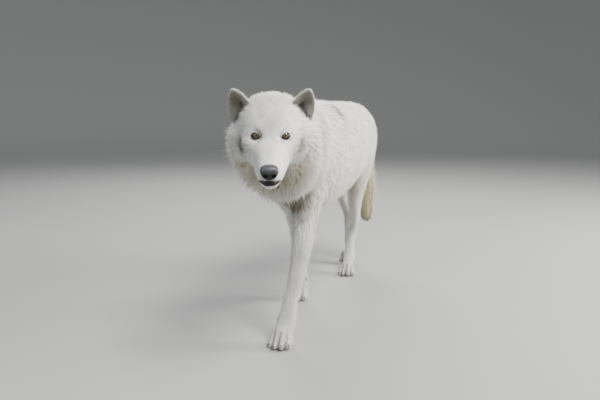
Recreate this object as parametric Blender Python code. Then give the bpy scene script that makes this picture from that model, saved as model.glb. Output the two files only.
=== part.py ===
"""Arctic wolf, life size, walking: a still museum model as named solids.

Metres, +Z up. The wolf faces -Y and its left side is +X. The outline is that
of the coat's tips. The flesh is lofted from named stations, joined into one
body, relaxed, and then parted again with thin cuts where a person would name
its parts. The origin ends at the bottom centre of the whole animal.
"""

import math

import bmesh
import bpy
import numpy as np
from mathutils import Matrix, Vector

# ---------------------------------------------------------------- sizes
VOXEL = 0.0055              # cell of the mesh that joins the lofts
RING_SIDES = 28             # points round a lofted section
SPAN_STEPS = 5              # rings between two stations
GAP = 0.0004                # width of the cuts that part the body
CLEARANCE = 0.0003          # room round a piece that sits in another
BODY_TRIANGLES = 4130       # of the whole body before it is parted
SPARE_PAW = 0.70            # how readily triangles are spared on the paws,
SPARE_BODY = 0.80           # on the trunk and legs,
SPARE_FACE = 0.60           # and on the face
SOLE_LEVEL = 0.0            # the floor

# Trunk, chest to rump: y, centre height, half width, up, down
TRUNK = (
    (-0.085, 0.500, 0.026, 0.032, 0.032),
    (-0.060, 0.505, 0.058, 0.090, 0.070),
    (0.000, 0.535, 0.094, 0.155, 0.134),
    (0.080, 0.555, 0.126, 0.177, 0.172),
    (0.180, 0.562, 0.142, 0.180, 0.188),
    (0.300, 0.565, 0.149, 0.171, 0.188),
    (0.420, 0.570, 0.149, 0.164, 0.182),
    (0.550, 0.577, 0.141, 0.158, 0.166),
    (0.660, 0.590, 0.134, 0.148, 0.152),
    (0.760, 0.602, 0.126, 0.134, 0.140),
    (0.835, 0.600, 0.100, 0.112, 0.116),
    (0.875, 0.592, 0.060, 0.068, 0.070),
)
TRUNK_POWER = 2.2           # roundness of its sections, 2 is an ellipse

# Head: where the eyes' midpoint is, which way the muzzle points
EYE_MIDDLE = Vector((0.090, -0.370, 0.645))
HEAD_YAW = math.radians(19)     # towards the wolf's left
HEAD_PITCH = math.radians(27)   # muzzle down

# Neck and mane, head to shoulders: x, y, z, half width, up, down
NECK = (
    (0.080, -0.318, 0.632, 0.072, 0.070, 0.070),
    (0.066, -0.270, 0.636, 0.104, 0.094, 0.112),
    (0.050, -0.205, 0.628, 0.118, 0.106, 0.136),
    (0.030, -0.125, 0.612, 0.120, 0.116, 0.146),
    (0.012, -0.040, 0.595, 0.120, 0.134, 0.146),
    (0.002, 0.060, 0.585, 0.116, 0.148, 0.130),
    (0.000, 0.160, 0.580, 0.080, 0.100, 0.090),
)

# Face, nose to nape, in the head's frame: forward, height, half width, up, down
FACE = (
    (0.1500, -0.0160, 0.0130, 0.0130, 0.0150),
    (0.1440, -0.0190, 0.0220, 0.0225, 0.0250),
    (0.1300, -0.0220, 0.0290, 0.0285, 0.0350),
    (0.1050, -0.0260, 0.0345, 0.0315, 0.0430),
    (0.0750, -0.0290, 0.0385, 0.0360, 0.0490),
    (0.0450, -0.0310, 0.0430, 0.0400, 0.0550),
    (0.0200, -0.0320, 0.0495, 0.0440, 0.0600),
    (0.0000, -0.0300, 0.0590, 0.0500, 0.0650),
    (-0.0200, -0.0240, 0.0690, 0.0570, 0.0700),
    (-0.0450, -0.0160, 0.0780, 0.0640, 0.0750),
    (-0.0900, -0.0100, 0.0850, 0.0730, 0.0860),
    (-0.1350, -0.0140, 0.0820, 0.0680, 0.0860),
    (-0.1700, -0.0200, 0.0560, 0.0460, 0.0600),
)
FACE_POWER = 2.25

# Side lumps of the head: side, forward, height, then the three half sizes
CHEEK_RUFF = ((0.068, -0.085, -0.066), (0.044, 0.052, 0.056))
JOWL = ((0.044, -0.030, -0.050), (0.040, 0.052, 0.040))
CHEEKBONE = ((0.048, -0.020, -0.020), (0.030, 0.040, 0.026))
BROW = ((0.027, -0.016, 0.020), (0.024, 0.026, 0.015))
WHISKER_PAD = ((0.017, 0.116, -0.032), (0.0170, 0.0260, 0.0180))
EAR_ROOT = ((0.058, -0.128, 0.006), (0.030, 0.028, 0.036))
UPPER_LIP = ((0.0220, 0.0620, -0.0460), (0.0225, 0.0500, 0.0230))
CHIN = ((0.000, 0.104, -0.059), (0.0190, 0.0260, 0.0120))
LUMPS = (CHEEK_RUFF, JOWL, CHEEKBONE, BROW, WHISKER_PAD, EAR_ROOT, UPPER_LIP)

# Eyes and nose, in the head's frame
EYE_SIDE = 0.0345
EYE_DEEP = 0.0075           # how far its centre lies behind the eyes' midpoint
EYE_RADIUS = 0.0125
ORBIT_HALF = (0.0125, 0.0260, 0.0105)  # the opening through which it shows
ORBIT_FACING = (0.20, 0.90, 0.30)
NOSE_CENTRE = (0.0, 0.1440, -0.0050)
NOSE_HALF = (0.0195, 0.0130, 0.0160)

# Ears: root and tip in the head's frame, across the root, thickness
EAR_BASE = (0.070, -0.096, 0.006)
EAR_TIP = (0.092, -0.088, 0.0810)
EAR_HALF_WIDTH = 0.0355
EAR_CUP = 0.028             # how deep the shell is cupped
EAR_WALL = 0.0075
EAR_FACING = (0.16, 0.97, -0.12)

# Legs: x, y, z, half width, back, front, from the body to the foot
FORE_LEFT = (
    (0.066, 0.080, 0.560, 0.050, 0.080, 0.080),
    (0.057, 0.062, 0.470, 0.047, 0.070, 0.066),
    (0.047, 0.040, 0.400, 0.041, 0.056, 0.050),
    (0.049, 0.012, 0.330, 0.038, 0.042, 0.038),
    (0.045, -0.008, 0.262, 0.032, 0.033, 0.033),
    (0.036, -0.024, 0.200, 0.0265, 0.0275, 0.0285),
    (0.025, -0.033, 0.150, 0.0235, 0.0240, 0.0245),
    (0.017, -0.042, 0.095, 0.0275, 0.0260, 0.0245),
    (0.011, -0.050, 0.052, 0.0330, 0.0300, 0.0270),
)
FORE_RIGHT = (
    (-0.060, 0.100, 0.560, 0.050, 0.080, 0.080),
    (-0.052, 0.140, 0.470, 0.046, 0.072, 0.066),
    (-0.044, 0.183, 0.400, 0.040, 0.058, 0.050),
    (-0.048, 0.236, 0.330, 0.036, 0.042, 0.038),
    (-0.057, 0.287, 0.260, 0.030, 0.033, 0.032),
    (-0.066, 0.328, 0.198, 0.0250, 0.0275, 0.0280),
    (-0.073, 0.358, 0.150, 0.0235, 0.0240, 0.0240),
    (-0.081, 0.388, 0.098, 0.0270, 0.0250, 0.0240),
    (-0.087, 0.406, 0.055, 0.0320, 0.0290, 0.0270),
)
HIND_LEFT = (
    (0.066, 0.760, 0.620, 0.050, 0.080, 0.090),
    (0.068, 0.735, 0.520, 0.054, 0.094, 0.104),
    (0.056, 0.715, 0.430, 0.046, 0.080, 0.078),
    (0.040, 0.745, 0.340, 0.0330, 0.0580, 0.0520),
    (0.026, 0.800, 0.262, 0.0260, 0.0380, 0.0360),
    (0.014, 0.842, 0.200, 0.0230, 0.0310, 0.0280),
    (0.006, 0.838, 0.145, 0.0210, 0.0250, 0.0240),
    (0.004, 0.820, 0.092, 0.0240, 0.0240, 0.0235),
    (0.004, 0.803, 0.052, 0.0300, 0.0280, 0.0270),
)
HIND_RIGHT = (
    (-0.066, 0.770, 0.620, 0.050, 0.080, 0.090),
    (-0.062, 0.762, 0.520, 0.052, 0.092, 0.096),
    (-0.050, 0.772, 0.430, 0.042, 0.074, 0.074),
    (-0.038, 0.826, 0.350, 0.0300, 0.0520, 0.0480),
    (-0.034, 0.892, 0.285, 0.0265, 0.0380, 0.0360),
    (-0.036, 0.944, 0.235, 0.0230, 0.0310, 0.0280),
    (-0.040, 0.968, 0.180, 0.0210, 0.0250, 0.0240),
    (-0.042, 0.992, 0.120, 0.0235, 0.0240, 0.0235),
    (-0.042, 1.006, 0.080, 0.0280, 0.0260, 0.0260),
)

# Paws: where the middle of the toe roots stands, pitch, and scale
PAWS = {
    "left_fore": (Vector((0.007, -0.062, 0.0)), 0.0, 1.00),
    "right_fore": (Vector((-0.089, 0.398, 0.0)), 0.0, 0.98),
    "left_hind": (Vector((0.004, 0.780, 0.0)), 0.0, 0.95),
    "right_hind": (Vector((-0.042, 0.980, 0.0)), math.radians(32), 0.95),
}
# Toes, inner to outer: sideways, forward of the toe roots
TOES = ((-0.0290, 0.0180), (-0.0108, 0.0300), (0.0108, 0.0300), (0.0290, 0.0180))
TOE_HALF = (0.0116, 0.0290, 0.0155)
TOE_HEIGHT = 0.0165
TOE_DIP = math.radians(24)      # how far a toe slopes down to its tip
TIP_SHARE = 0.42                # where along a toe a pitched paw stands
PAD_HALF = (0.0320, 0.0340, 0.0230)
PAD_CENTRE = (0.0, -0.0100, 0.0205)
KNUCKLE_HALF = (0.0345, 0.0270, 0.0235)
KNUCKLE_CENTRE = (0.0, 0.0040, 0.0390)

# Claws: length past the toe, root radius, how far they droop
CLAW_LENGTH = 0.0165
CLAW_RADIUS = 0.0034
CLAW_ROOT = 0.45                # where along a toe's half length it starts
CLAW_SPLAY = 1.2                # how far claws spread, by their toe's place
CLAW_LEVEL = 0.6                # how far a pitched paw's claws turn level
CLAW_TAPER = 0.72
CLAW_DROOP = math.radians(24)
CLAW_HEIGHT = 0.0165
CLAW_SIDES = 6
CLAW_RINGS = 2
DEWCLAW_AT = {
    "left_fore": (Vector((-0.0090, -0.046, 0.087)), Vector((-0.35, -0.75, -0.55))),
    "right_fore": (Vector((-0.0570, 0.3800, 0.088)), Vector((0.35, -0.75, -0.55))),
}

# Tail, root to tip: x, y, z, half width, back, front
TAIL = (
    (0.000, 0.800, 0.660, 0.030, 0.030, 0.030),
    (0.002, 0.850, 0.655, 0.044, 0.040, 0.042),
    (0.010, 0.888, 0.610, 0.046, 0.042, 0.042),
    (0.022, 0.910, 0.540, 0.050, 0.047, 0.045),
    (0.034, 0.925, 0.450, 0.055, 0.054, 0.050),
    (0.042, 0.935, 0.360, 0.054, 0.053, 0.050),
    (0.046, 0.942, 0.280, 0.043, 0.042, 0.040),
    (0.048, 0.948, 0.225, 0.025, 0.025, 0.025),
    (0.048, 0.950, 0.198, 0.008, 0.008, 0.008),
)

# Blades that part the trunk and the tops of the legs: centre, normal, reach
BLADES = (
    ((0.060, -0.236, 0.640), (0.34, -0.90, -0.06), (0.20, 0.20)),     # head, neck
    ((0.0, 0.005, 0.60), (0.0, -0.93, 0.36), (0.30, 0.21)),           # neck, chest
    ((0.0, 0.330, 0.60), (0.0, 1.0, 0.0), (0.30, 0.232)),             # chest, loin
    ((0.0, 0.585, 0.60), (0.0, 1.0, 0.0), (0.30, 0.200)),             # loin, rump
    ((0.008, 0.866, 0.625), (0.0, 1.0, 0.0), (0.12, 0.125)),          # rump, tail
    ((0.038, 0.930, 0.410), (0.0, 0.1, -1.0), (0.08, 0.062)),         # in the tail
    ((0.047, 0.026, 0.362), (0.0, 0.05, -1.0), (0.080, 0.080)),       # left forearm
    ((-0.046, 0.215, 0.350), (0.0, 0.08, -1.0), (0.052, 0.080)),      # right forearm
    ((0.005, 0.745, 0.425), (0.0, 0.0, -1.0), (0.140, 0.115)),        # both thighs
)
# Blades through two stations of each leg: station, reach, lean to the level
LEG_BLADES = ((5, 0.052, 0.0), (7, 0.046, 0.4))

# A place inside each part, by which the parts are told apart
HEAD_INSIDE = (0.0, -0.05, 0.0)
PAW_INSIDE = (0.0, 0.005, 0.024)
TRUNK_INSIDE = {
    "neck": (0.025, -0.12, 0.61),
    "chest": (0.0, 0.18, 0.60),
    "loin": (0.0, 0.45, 0.58),
    "rump": (0.0, 0.74, 0.60),
    "tail_root": (0.026, 0.915, 0.51),
    "tail_tip": (0.046, 0.94, 0.29),
}
UPPER_STATION, LOWER_STATION = 3, 6     # of a leg, inside its two long parts

# How far the joined body is relaxed: rounds, and the least and most share
RELAX_ROUNDS = 7
RELAX_SHARE = 0.6
LEAST_SOFT = 0.12
SOFT_ABOVE = (0.05, 0.25)       # heights between which the legs turn soft
MUZZLE_MIDDLE = (0.0, 0.07, -0.02)
SOFT_BEYOND = (0.07, 0.17)      # distances from the muzzle, the same
PAW_FADE = (0.07, 0.17)         # heights over which the paws' detail fades
FACE_FADE = (0.072, 0.192)      # distances from the eyes, the same
SEAT_SWELL = 1.4                # a corner's move for one unit of its faces' move

# Colours and finishes: red, green, blue, roughness
FUR_WHITE = (0.80, 0.77, 0.70, 0.90)
FUR_CREAM = (0.70, 0.62, 0.48, 0.90)
EAR_GREY = (0.42, 0.36, 0.29, 0.90)
NOSE_BLACK = (0.02, 0.02, 0.022, 0.45)
EYE_AMBER = (0.36, 0.20, 0.04, 0.12)
CLAW_HORN = (0.05, 0.04, 0.035, 0.45)


# ---------------------------------------------------------------- scene
def clear_scene():
    """Remove every object that the start-up file brought."""
    for thing in list(bpy.data.objects):
        bpy.data.objects.remove(thing, do_unlink=True)


def finish(name, colour):
    """A Principled material from red, green, blue and roughness."""
    material = bpy.data.materials.get(name) or bpy.data.materials.new(name)
    material.use_nodes = True
    shader = material.node_tree.nodes["Principled BSDF"]
    shader.inputs["Base Color"].default_value = (*colour[:3], 1.0)
    shader.inputs["Roughness"].default_value = colour[3]
    shader.inputs["Metallic"].default_value = 0.0
    material.diffuse_color = (*colour[:3], 1.0)
    return material


def add_object(name, mesh, material=None):
    """Put a mesh into the scene under a name."""
    thing = bpy.data.objects.new(name, mesh)
    bpy.context.scene.collection.objects.link(thing)
    if material:
        mesh.materials.clear()
        mesh.materials.append(material)
    return thing


def mesh_of(name, points, faces):
    """A mesh from its points and faces, with the faces turned outwards."""
    mesh = bpy.data.meshes.new(name)
    mesh.from_pydata([tuple(p) for p in points], [], [tuple(f) for f in faces])
    work = bmesh.new()
    work.from_mesh(mesh)
    bmesh.ops.recalc_face_normals(work, faces=work.faces)
    work.to_mesh(mesh)
    work.free()
    return mesh


def baked(thing):
    """Replace an object's mesh by what its modifiers make of it."""
    bpy.context.view_layer.update()
    graph = bpy.context.evaluated_depsgraph_get()
    mesh = bpy.data.meshes.new_from_object(thing.evaluated_get(graph))
    thing.modifiers.clear()
    thing.data = mesh
    return thing


# ---------------------------------------------------------------- shapes
def smooth_rows(rows):
    """Catmull-Rom curve through rows of numbers, SPAN_STEPS to a span."""
    rows = np.array(rows, float)
    padded = np.vstack([2 * rows[0] - rows[1], rows, 2 * rows[-1] - rows[-2]])
    before, start, end, after = padded[:-3], padded[1:-2], padded[2:-1], padded[3:]
    curve = []
    for step in np.arange(SPAN_STEPS) / SPAN_STEPS:
        curve.append(0.5 * (2 * start + (end - before) * step
                            + (2 * before - 5 * start + 4 * end - after) * step**2
                            + (3 * start - before - 3 * end + after) * step**3))
    joined = np.stack(curve, axis=1).reshape(-1, rows.shape[1])
    return np.vstack([joined, rows[-1]])


def loft(rows, power=2.0, across=(1.0, 0.0, 0.0)):
    """Closed skin round a path: rows of centre, half width, up and down.

    A section is a superellipse in the plane square to the path. Its width runs
    along the across direction, and up is the side that across x path points to.
    """
    rows = smooth_rows(rows)
    centres = rows[:, :3]
    path = np.gradient(centres, axis=0)
    path /= np.linalg.norm(path, axis=1, keepdims=True)
    side = np.array(across) - path * (path @ np.array(across))[:, None]
    side /= np.linalg.norm(side, axis=1, keepdims=True)
    rise = np.cross(side, path)
    turn = np.arange(RING_SIDES) * 2 * math.pi / RING_SIDES
    wide = np.sign(np.cos(turn)) * np.abs(np.cos(turn)) ** (2 / power)
    tall = np.sign(np.sin(turn)) * np.abs(np.sin(turn)) ** (2 / power)
    width = np.maximum(rows[:, 3], 0.002)[:, None]
    height = np.where(tall > 0, rows[:, 4][:, None], rows[:, 5][:, None])
    height = np.maximum(height, 0.002)
    rings = (centres[:, None] + (width * wide)[..., None] * side[:, None]
             + (height * tall)[..., None] * rise[:, None])
    points = np.vstack([rings.reshape(-1, 3), centres[:1], centres[-1:]])
    count = len(rows)
    faces = []
    for ring in range(count - 1):
        for k in range(RING_SIDES):
            a = ring * RING_SIDES + k
            b = ring * RING_SIDES + (k + 1) % RING_SIDES
            faces.append((a, b, b + RING_SIDES, a + RING_SIDES))
    first, last = count * RING_SIDES, count * RING_SIDES + 1
    for k in range(RING_SIDES):
        following = (k + 1) % RING_SIDES
        faces.append((first, following, k))
        faces.append((last, last - 1 - RING_SIDES + k, last - 1 - RING_SIDES + following))
    return points, faces


def ball(centre, half, turn=None, rings=14, segments=22):
    """An ellipsoid: its centre, three half sizes and a turning matrix."""
    work = bmesh.new()
    bmesh.ops.create_uvsphere(work, u_segments=segments, v_segments=rings, radius=1.0)
    matrix = (turn or Matrix.Identity(3)).to_4x4() @ Matrix.Diagonal((*half, 1.0))
    points = [matrix @ v.co + Vector(centre) for v in work.verts]
    faces = [[v.index for v in f.verts] for f in work.faces]
    work.free()
    return points, faces


# ---------------------------------------------------------------- head frame
def head_axes():
    """Side (the wolf's left), forward and up directions of the head."""
    side = Vector((math.cos(HEAD_YAW), math.sin(HEAD_YAW), 0.0))
    forward = Vector((math.sin(HEAD_YAW) * math.cos(HEAD_PITCH),
                      -math.cos(HEAD_YAW) * math.cos(HEAD_PITCH),
                      -math.sin(HEAD_PITCH)))
    return side, forward, forward.cross(side)


def head_turn():
    """Matrix whose columns are the head's side, forward and up directions."""
    side, forward, up = head_axes()
    return Matrix((side, forward, up)).transposed()


def on_head(place):
    """World place of a side, forward, height place in the head's frame."""
    return EYE_MIDDLE + head_turn() @ Vector(place)


def mirrored(place, hand):
    """A head place on the wolf's left (hand 1) or right (hand -1)."""
    return (place[0] * hand, place[1], place[2])


def face_rows():
    """The face stations as rows in the world."""
    rows = []
    for forward, height, half_width, up, down in FACE:
        rows.append((*on_head((0.0, forward, height)), half_width, up, down))
    return rows


def head_shapes():
    """Lofts and lumps that make up the head, without ears, eyes and nose."""
    side = head_axes()[0]
    shapes = [loft(face_rows(), FACE_POWER, tuple(side))]
    shapes.append(ball(on_head(CHIN[0]), CHIN[1], head_turn()))
    for hand in (1, -1):
        for place, half in LUMPS:
            shapes.append(ball(on_head(mirrored(place, hand)), half, head_turn()))
    return shapes


# ---------------------------------------------------------------- paws
def paw_frame(name):
    """Turn and place of a paw: a pitched paw stands on its toe tips."""
    place, pitch, scale = PAWS[name]
    turn = Matrix.Rotation(pitch, 3, "X")
    lift = 0.0
    if pitch:
        reach = (TOES[1][1] + TOE_HALF[1] * TIP_SHARE) * scale
        lift = math.sin(pitch) * reach
    return turn, place + Vector((0.0, 0.0, lift)), scale


def on_paw(name, place):
    """World place of a sideways, forward, height place in a paw's frame."""
    turn, base, scale = paw_frame(name)
    side, forward, height = place
    return base + turn @ (Vector((side, -forward, height)) * scale)


def paw_shapes(name):
    """Pad, knuckles and four toes of one paw."""
    turn, _, scale = paw_frame(name)
    dip = turn @ Matrix.Rotation(TOE_DIP, 3, "X")
    parts = [(PAD_CENTRE, PAD_HALF, turn), (KNUCKLE_CENTRE, KNUCKLE_HALF, turn)]
    parts += [((side, forward, TOE_HEIGHT), TOE_HALF, dip) for side, forward in TOES]
    return [ball(on_paw(name, place), Vector(half) * scale, way)
            for place, half, way in parts]


# ---------------------------------------------------------------- body
def joined_body():
    """The whole of the flesh as one closed mesh."""
    shapes = [loft([(0.0, y, z, w, up, down) for y, z, w, up, down in TRUNK], TRUNK_POWER)]
    shapes.append(loft(NECK, TRUNK_POWER))
    shapes.append(loft(TAIL))
    for leg in (FORE_LEFT, FORE_RIGHT, HIND_LEFT, HIND_RIGHT):
        shapes.append(loft(leg, 2.2))
    shapes += head_shapes()
    for name in PAWS:
        shapes += paw_shapes(name)
    points, faces = [], []
    for some_points, some_faces in shapes:
        start = len(points)
        points += [tuple(p) for p in some_points]
        faces += [tuple(start + k for k in f) for f in some_faces]
    mesh = bpy.data.meshes.new("body")
    mesh.from_pydata(points, [], faces)
    body = add_object("body", mesh)
    remesh = body.modifiers.new("join", "REMESH")
    remesh.mode = "VOXEL"
    remesh.voxel_size = VOXEL
    return baked(body)


def softness(points):
    """How far each point is relaxed: least on the face and the feet."""
    low = np.interp(points[:, 2], SOFT_ABOVE, (0.0, 1.0))
    away = np.linalg.norm(points - np.array(on_head(MUZZLE_MIDDLE)), axis=1)
    face = np.interp(away, SOFT_BEYOND, (0.0, 1.0))
    return LEAST_SOFT + (1.0 - LEAST_SOFT) * np.minimum(low, face)


def coarseness(points):
    """How readily triangles are spared at each point: most on the paws."""
    paws = np.interp(points[:, 2], PAW_FADE, (1.0, 0.0))
    eyes = np.linalg.norm(points - np.array(EYE_MIDDLE), axis=1)
    face = np.interp(eyes, FACE_FADE, (1.0, 0.0))
    return SPARE_BODY + (SPARE_PAW - SPARE_BODY) * paws + (SPARE_FACE - SPARE_BODY) * face


def relaxed(body, rounds):
    """Move every point towards the mean of its neighbours, rounds times."""
    mesh = body.data
    points = np.empty(len(mesh.vertices) * 3, np.float32)
    mesh.vertices.foreach_get("co", points)
    points = points.reshape(-1, 3).astype(float)
    ends = np.empty(len(mesh.edges) * 2, np.int32)
    mesh.edges.foreach_get("vertices", ends)
    ends = ends.reshape(-1, 2)
    degree = np.bincount(ends.ravel(), minlength=len(points))[:, None]
    weight = softness(points)[:, None] * RELAX_SHARE
    for _ in range(rounds):
        total = np.zeros_like(points)
        for axis in range(3):
            total[:, axis] = (
                np.bincount(ends[:, 0], points[ends[:, 1], axis], len(points))
                + np.bincount(ends[:, 1], points[ends[:, 0], axis], len(points)))
        points += weight * (total / degree - points)
    mesh.vertices.foreach_set("co", points.astype(np.float32).ravel())
    mesh.update()
    return body


def thinned(body, triangles):
    """Fewer triangles, and the most of them on the head and the paws."""
    mesh = body.data
    points = np.empty(len(mesh.vertices) * 3, np.float32)
    mesh.vertices.foreach_get("co", points)
    coarse = coarseness(points.reshape(-1, 3))
    group = body.vertex_groups.new(name="coarse")
    for level in range(1, 11):
        chosen = np.nonzero(np.round(coarse * 10) == level)[0]
        if len(chosen):
            group.add(chosen.tolist(), level / 10, "REPLACE")
    thin = body.modifiers.new("thin", "DECIMATE")
    thin.ratio = triangles / (2.0 * len(mesh.polygons))
    thin.vertex_group = group.name
    thin.vertex_group_factor = 1.0
    thin.use_collapse_triangulate = True
    baked(body)
    body.vertex_groups.clear()
    return body


def cut(target, cutters, operation="DIFFERENCE"):
    """Boolean of one object with others, baked into its mesh."""
    for cutter in cutters:
        boolean = target.modifiers.new("cut", "BOOLEAN")
        boolean.operation = operation
        boolean.solver = "EXACT"
        boolean.object = cutter
    baked(target)
    for cutter in cutters:
        bpy.data.objects.remove(cutter, do_unlink=True)
    return target


def plate(centre, normal, half_size, thickness=GAP, across=(1.0, 0.0, 0.0)):
    """A thin square plate, the blade of a cut: its centre, normal and reach."""
    normal = Vector(normal).normalized()
    side = Vector(across)
    side = (side - normal * side.dot(normal)).normalized()
    other = normal.cross(side)
    wide, deep = half_size
    corners = []
    for face in (-0.5, 0.5):
        for a, b in ((-1, -1), (1, -1), (1, 1), (-1, 1)):
            corners.append(Vector(centre) + normal * thickness * face
                           + side * wide * a + other * deep * b)
    faces = [(0, 3, 2, 1), (4, 5, 6, 7), (0, 1, 5, 4),
             (1, 2, 6, 5), (2, 3, 7, 6), (3, 0, 4, 7)]
    return add_object("blade", mesh_of("blade", corners, faces))


def leg_plate(rows, row, reach, lean=0.0):
    """A blade through one station of a leg, square to the leg or leant."""
    here = Vector(rows[row][:3])
    along = Vector(rows[row + 1][:3]) - Vector(rows[row - 1][:3])
    along.normalize()
    normal = (along * (1.0 - lean) + Vector((0.0, 0.0, -1.0)) * lean).normalized()
    return plate(here, normal, (reach, reach))


def blades():
    """Every thin cut that parts the body."""
    found = [plate(*row) for row in BLADES]
    for rows in (FORE_LEFT, FORE_RIGHT, HIND_LEFT, HIND_RIGHT):
        found += [leg_plate(rows, *blade) for blade in LEG_BLADES]
    return found


def loose_parts(thing):
    """Split an object's mesh into its separate bodies, as new meshes."""
    work = bmesh.new()
    work.from_mesh(thing.data)
    work.verts.ensure_lookup_table()
    seen = set()
    pieces = []
    for start in work.verts:
        if start.index in seen:
            continue
        stack, island = [start], set()
        seen.add(start.index)
        while stack:
            vert = stack.pop()
            island.add(vert.index)
            for edge in vert.link_edges:
                other = edge.other_vert(vert)
                if other.index not in seen:
                    seen.add(other.index)
                    stack.append(other)
        pieces.append(island)
    meshes = []
    for island in pieces:
        index = {v: k for k, v in enumerate(sorted(island))}
        points = [work.verts[v].co.copy() for v in sorted(island)]
        faces = [[index[v.index] for v in f.verts] for f in work.faces
                 if f.verts[0].index in island]
        mesh = bpy.data.meshes.new("piece")
        mesh.from_pydata([tuple(p) for p in points], [], faces)
        meshes.append(mesh)
    work.free()
    return meshes


def volume_of(mesh):
    """Volume that a closed mesh holds."""
    work = bmesh.new()
    work.from_mesh(mesh)
    volume = work.calc_volume(signed=False)
    work.free()
    return volume


def landmarks():
    """Name and a place inside each part of the flesh."""
    places = {name: Vector(place) for name, place in TRUNK_INSIDE.items()}
    places["head"] = on_head(HEAD_INSIDE)
    for name, rows, upper, lower in (
            ("left_fore", FORE_LEFT, "forearm", "pastern"),
            ("right_fore", FORE_RIGHT, "forearm", "pastern"),
            ("left_hind", HIND_LEFT, "thigh", "hock"),
            ("right_hind", HIND_RIGHT, "thigh", "hock")):
        places[f"{name}_{upper}"] = Vector(rows[UPPER_STATION][:3])
        places[f"{name}_{lower}"] = Vector(rows[LOWER_STATION][:3])
        places[name + "_paw"] = on_paw(name, PAW_INSIDE)
    return places


def name_parts(body):
    """Give each loose part the name of the landmark nearest its middle."""
    meshes = loose_parts(body)
    places = landmarks()
    white = finish("fur_white", FUR_WHITE)
    cream = finish("fur_cream", FUR_CREAM)
    centres = []
    for mesh in meshes:
        corners = np.array([v.co[:] for v in mesh.vertices])
        centres.append((corners.min(0) + corners.max(0)) / 2)
    taken = {}
    for name, place in places.items():
        gaps = [np.linalg.norm(np.array(place) - c) for c in centres]
        order = np.argsort(gaps)
        chosen = next(k for k in order if k not in taken.values())
        taken[name] = chosen
        colour = cream if name.startswith("tail") else white
        add_object(name, meshes[chosen], colour)
    if len(meshes) != len(places):
        sizes = sorted(volume_of(m) for m in meshes)
        print("parts found", len(meshes), "named", len(places), sizes[:6])
    bpy.data.objects.remove(body, do_unlink=True)


# ---------------------------------------------------------------- small parts
def eye(name, hand):
    """One eyeball."""
    place = on_head((EYE_SIDE * hand, -EYE_DEEP, 0.0))
    points, faces = ball(place, (EYE_RADIUS,) * 3, head_turn(), 8, 12)
    return add_object(name, mesh_of(name, points, faces), finish("eye", EYE_AMBER))


def nose():
    """The nose pad."""
    points, faces = ball(on_head(NOSE_CENTRE), NOSE_HALF, head_turn(), 8, 14)
    return add_object("nose", mesh_of("nose", points, faces), finish("nose", NOSE_BLACK))


def ear(name, hand):
    """A cupped ear: an arch across, narrowing to a rounded tip.

    Along its height t the half width follows a rounded triangle, and both faces
    are arcs whose depth is the cup, a wall apart at the middle.
    """
    base = on_head(mirrored(EAR_BASE, hand))
    tip = on_head(mirrored(EAR_TIP, hand))
    axis = (tip - base).normalized()
    length = (tip - base).length
    facing = head_turn() @ Vector(mirrored(EAR_FACING, hand))
    facing = (facing - axis * facing.dot(axis)).normalized()
    width = axis.cross(facing)
    rows, columns = 7, 6
    points = []
    for layer in (0, 1):
        for r in range(rows + 1):
            t = r / rows
            half = EAR_HALF_WIDTH * (1.0 - t**2.3) ** 0.62 * (1.0 - 0.16 * t) + 0.0012
            cup = EAR_CUP * (1.0 - t) ** 0.8 + 0.0015
            for c in range(columns + 1):
                s = 2.0 * c / columns - 1.0
                wall = EAR_WALL * (1.0 - 0.55 * s * s) * (1.0 - 0.45 * t)
                depth = -cup * (1.0 - s * s) + (0.5 if layer else -0.5) * wall
                points.append(base + axis * (length * t) + width * (half * s)
                              + facing * depth)
    faces = []
    step, layer_size = columns + 1, (rows + 1) * (columns + 1)
    for r in range(rows):
        for c in range(columns):
            a = r * step + c
            quad = (a, a + 1, a + 1 + step, a + step)
            faces.append(quad)
            faces.append(tuple(k + layer_size for k in reversed(quad)))
    rim = list(range(step))
    rim += [r * step + columns for r in range(1, rows + 1)]
    rim += [rows * step + c for c in range(columns - 1, -1, -1)]
    rim += [r * step for r in range(rows - 1, 0, -1)]
    for a, b in zip(rim, rim[1:] + rim[:1]):
        faces.append((b, a, a + layer_size, b + layer_size))
    return add_object(name, mesh_of(name, points, faces), finish("ear", EAR_GREY))


def claw(name, root, direction, length, radius):
    """A tapering hook that droops as it goes out."""
    direction = direction.normalized()
    side = direction.cross(Vector((0.0, 0.0, 1.0))).normalized()
    points = []
    for r in range(CLAW_RINGS + 1):
        t = r / CLAW_RINGS
        heading = Matrix.Rotation(-CLAW_DROOP * t, 3, side) @ direction
        centre = root + heading * (length * t)
        up = side.cross(heading).normalized()
        size = radius * (1.0 - CLAW_TAPER * t**1.4)
        for k in range(CLAW_SIDES):
            angle = 2 * math.pi * k / CLAW_SIDES
            points.append(centre + side * (0.8 * size * math.cos(angle))
                          + up * (size * math.sin(angle)))
    faces = []
    for r in range(CLAW_RINGS):
        for k in range(CLAW_SIDES):
            a = r * CLAW_SIDES + k
            b = r * CLAW_SIDES + (k + 1) % CLAW_SIDES
            faces.append((a, b, b + CLAW_SIDES, a + CLAW_SIDES))
    faces.append(tuple(range(CLAW_SIDES)))
    faces.append(tuple(CLAW_RINGS * CLAW_SIDES + k for k in range(CLAW_SIDES)))
    return add_object(name, mesh_of(name, points, faces), finish("claw", CLAW_HORN))


def paw_claws(name):
    """The four claws of a paw, inner toe to outer toe."""
    turn, _, scale = paw_frame(name)
    level = turn.lerp(Matrix.Identity(3), CLAW_LEVEL)
    for number, (side, forward) in enumerate(TOES, 1):
        root = on_paw(name, (side, forward + TOE_HALF[1] * CLAW_ROOT, CLAW_HEIGHT))
        direction = level @ Vector((side * CLAW_SPLAY, -0.10, 0.006))
        claw(f"{name}_claw_{number}", root, direction, CLAW_LENGTH * scale, CLAW_RADIUS)


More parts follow.
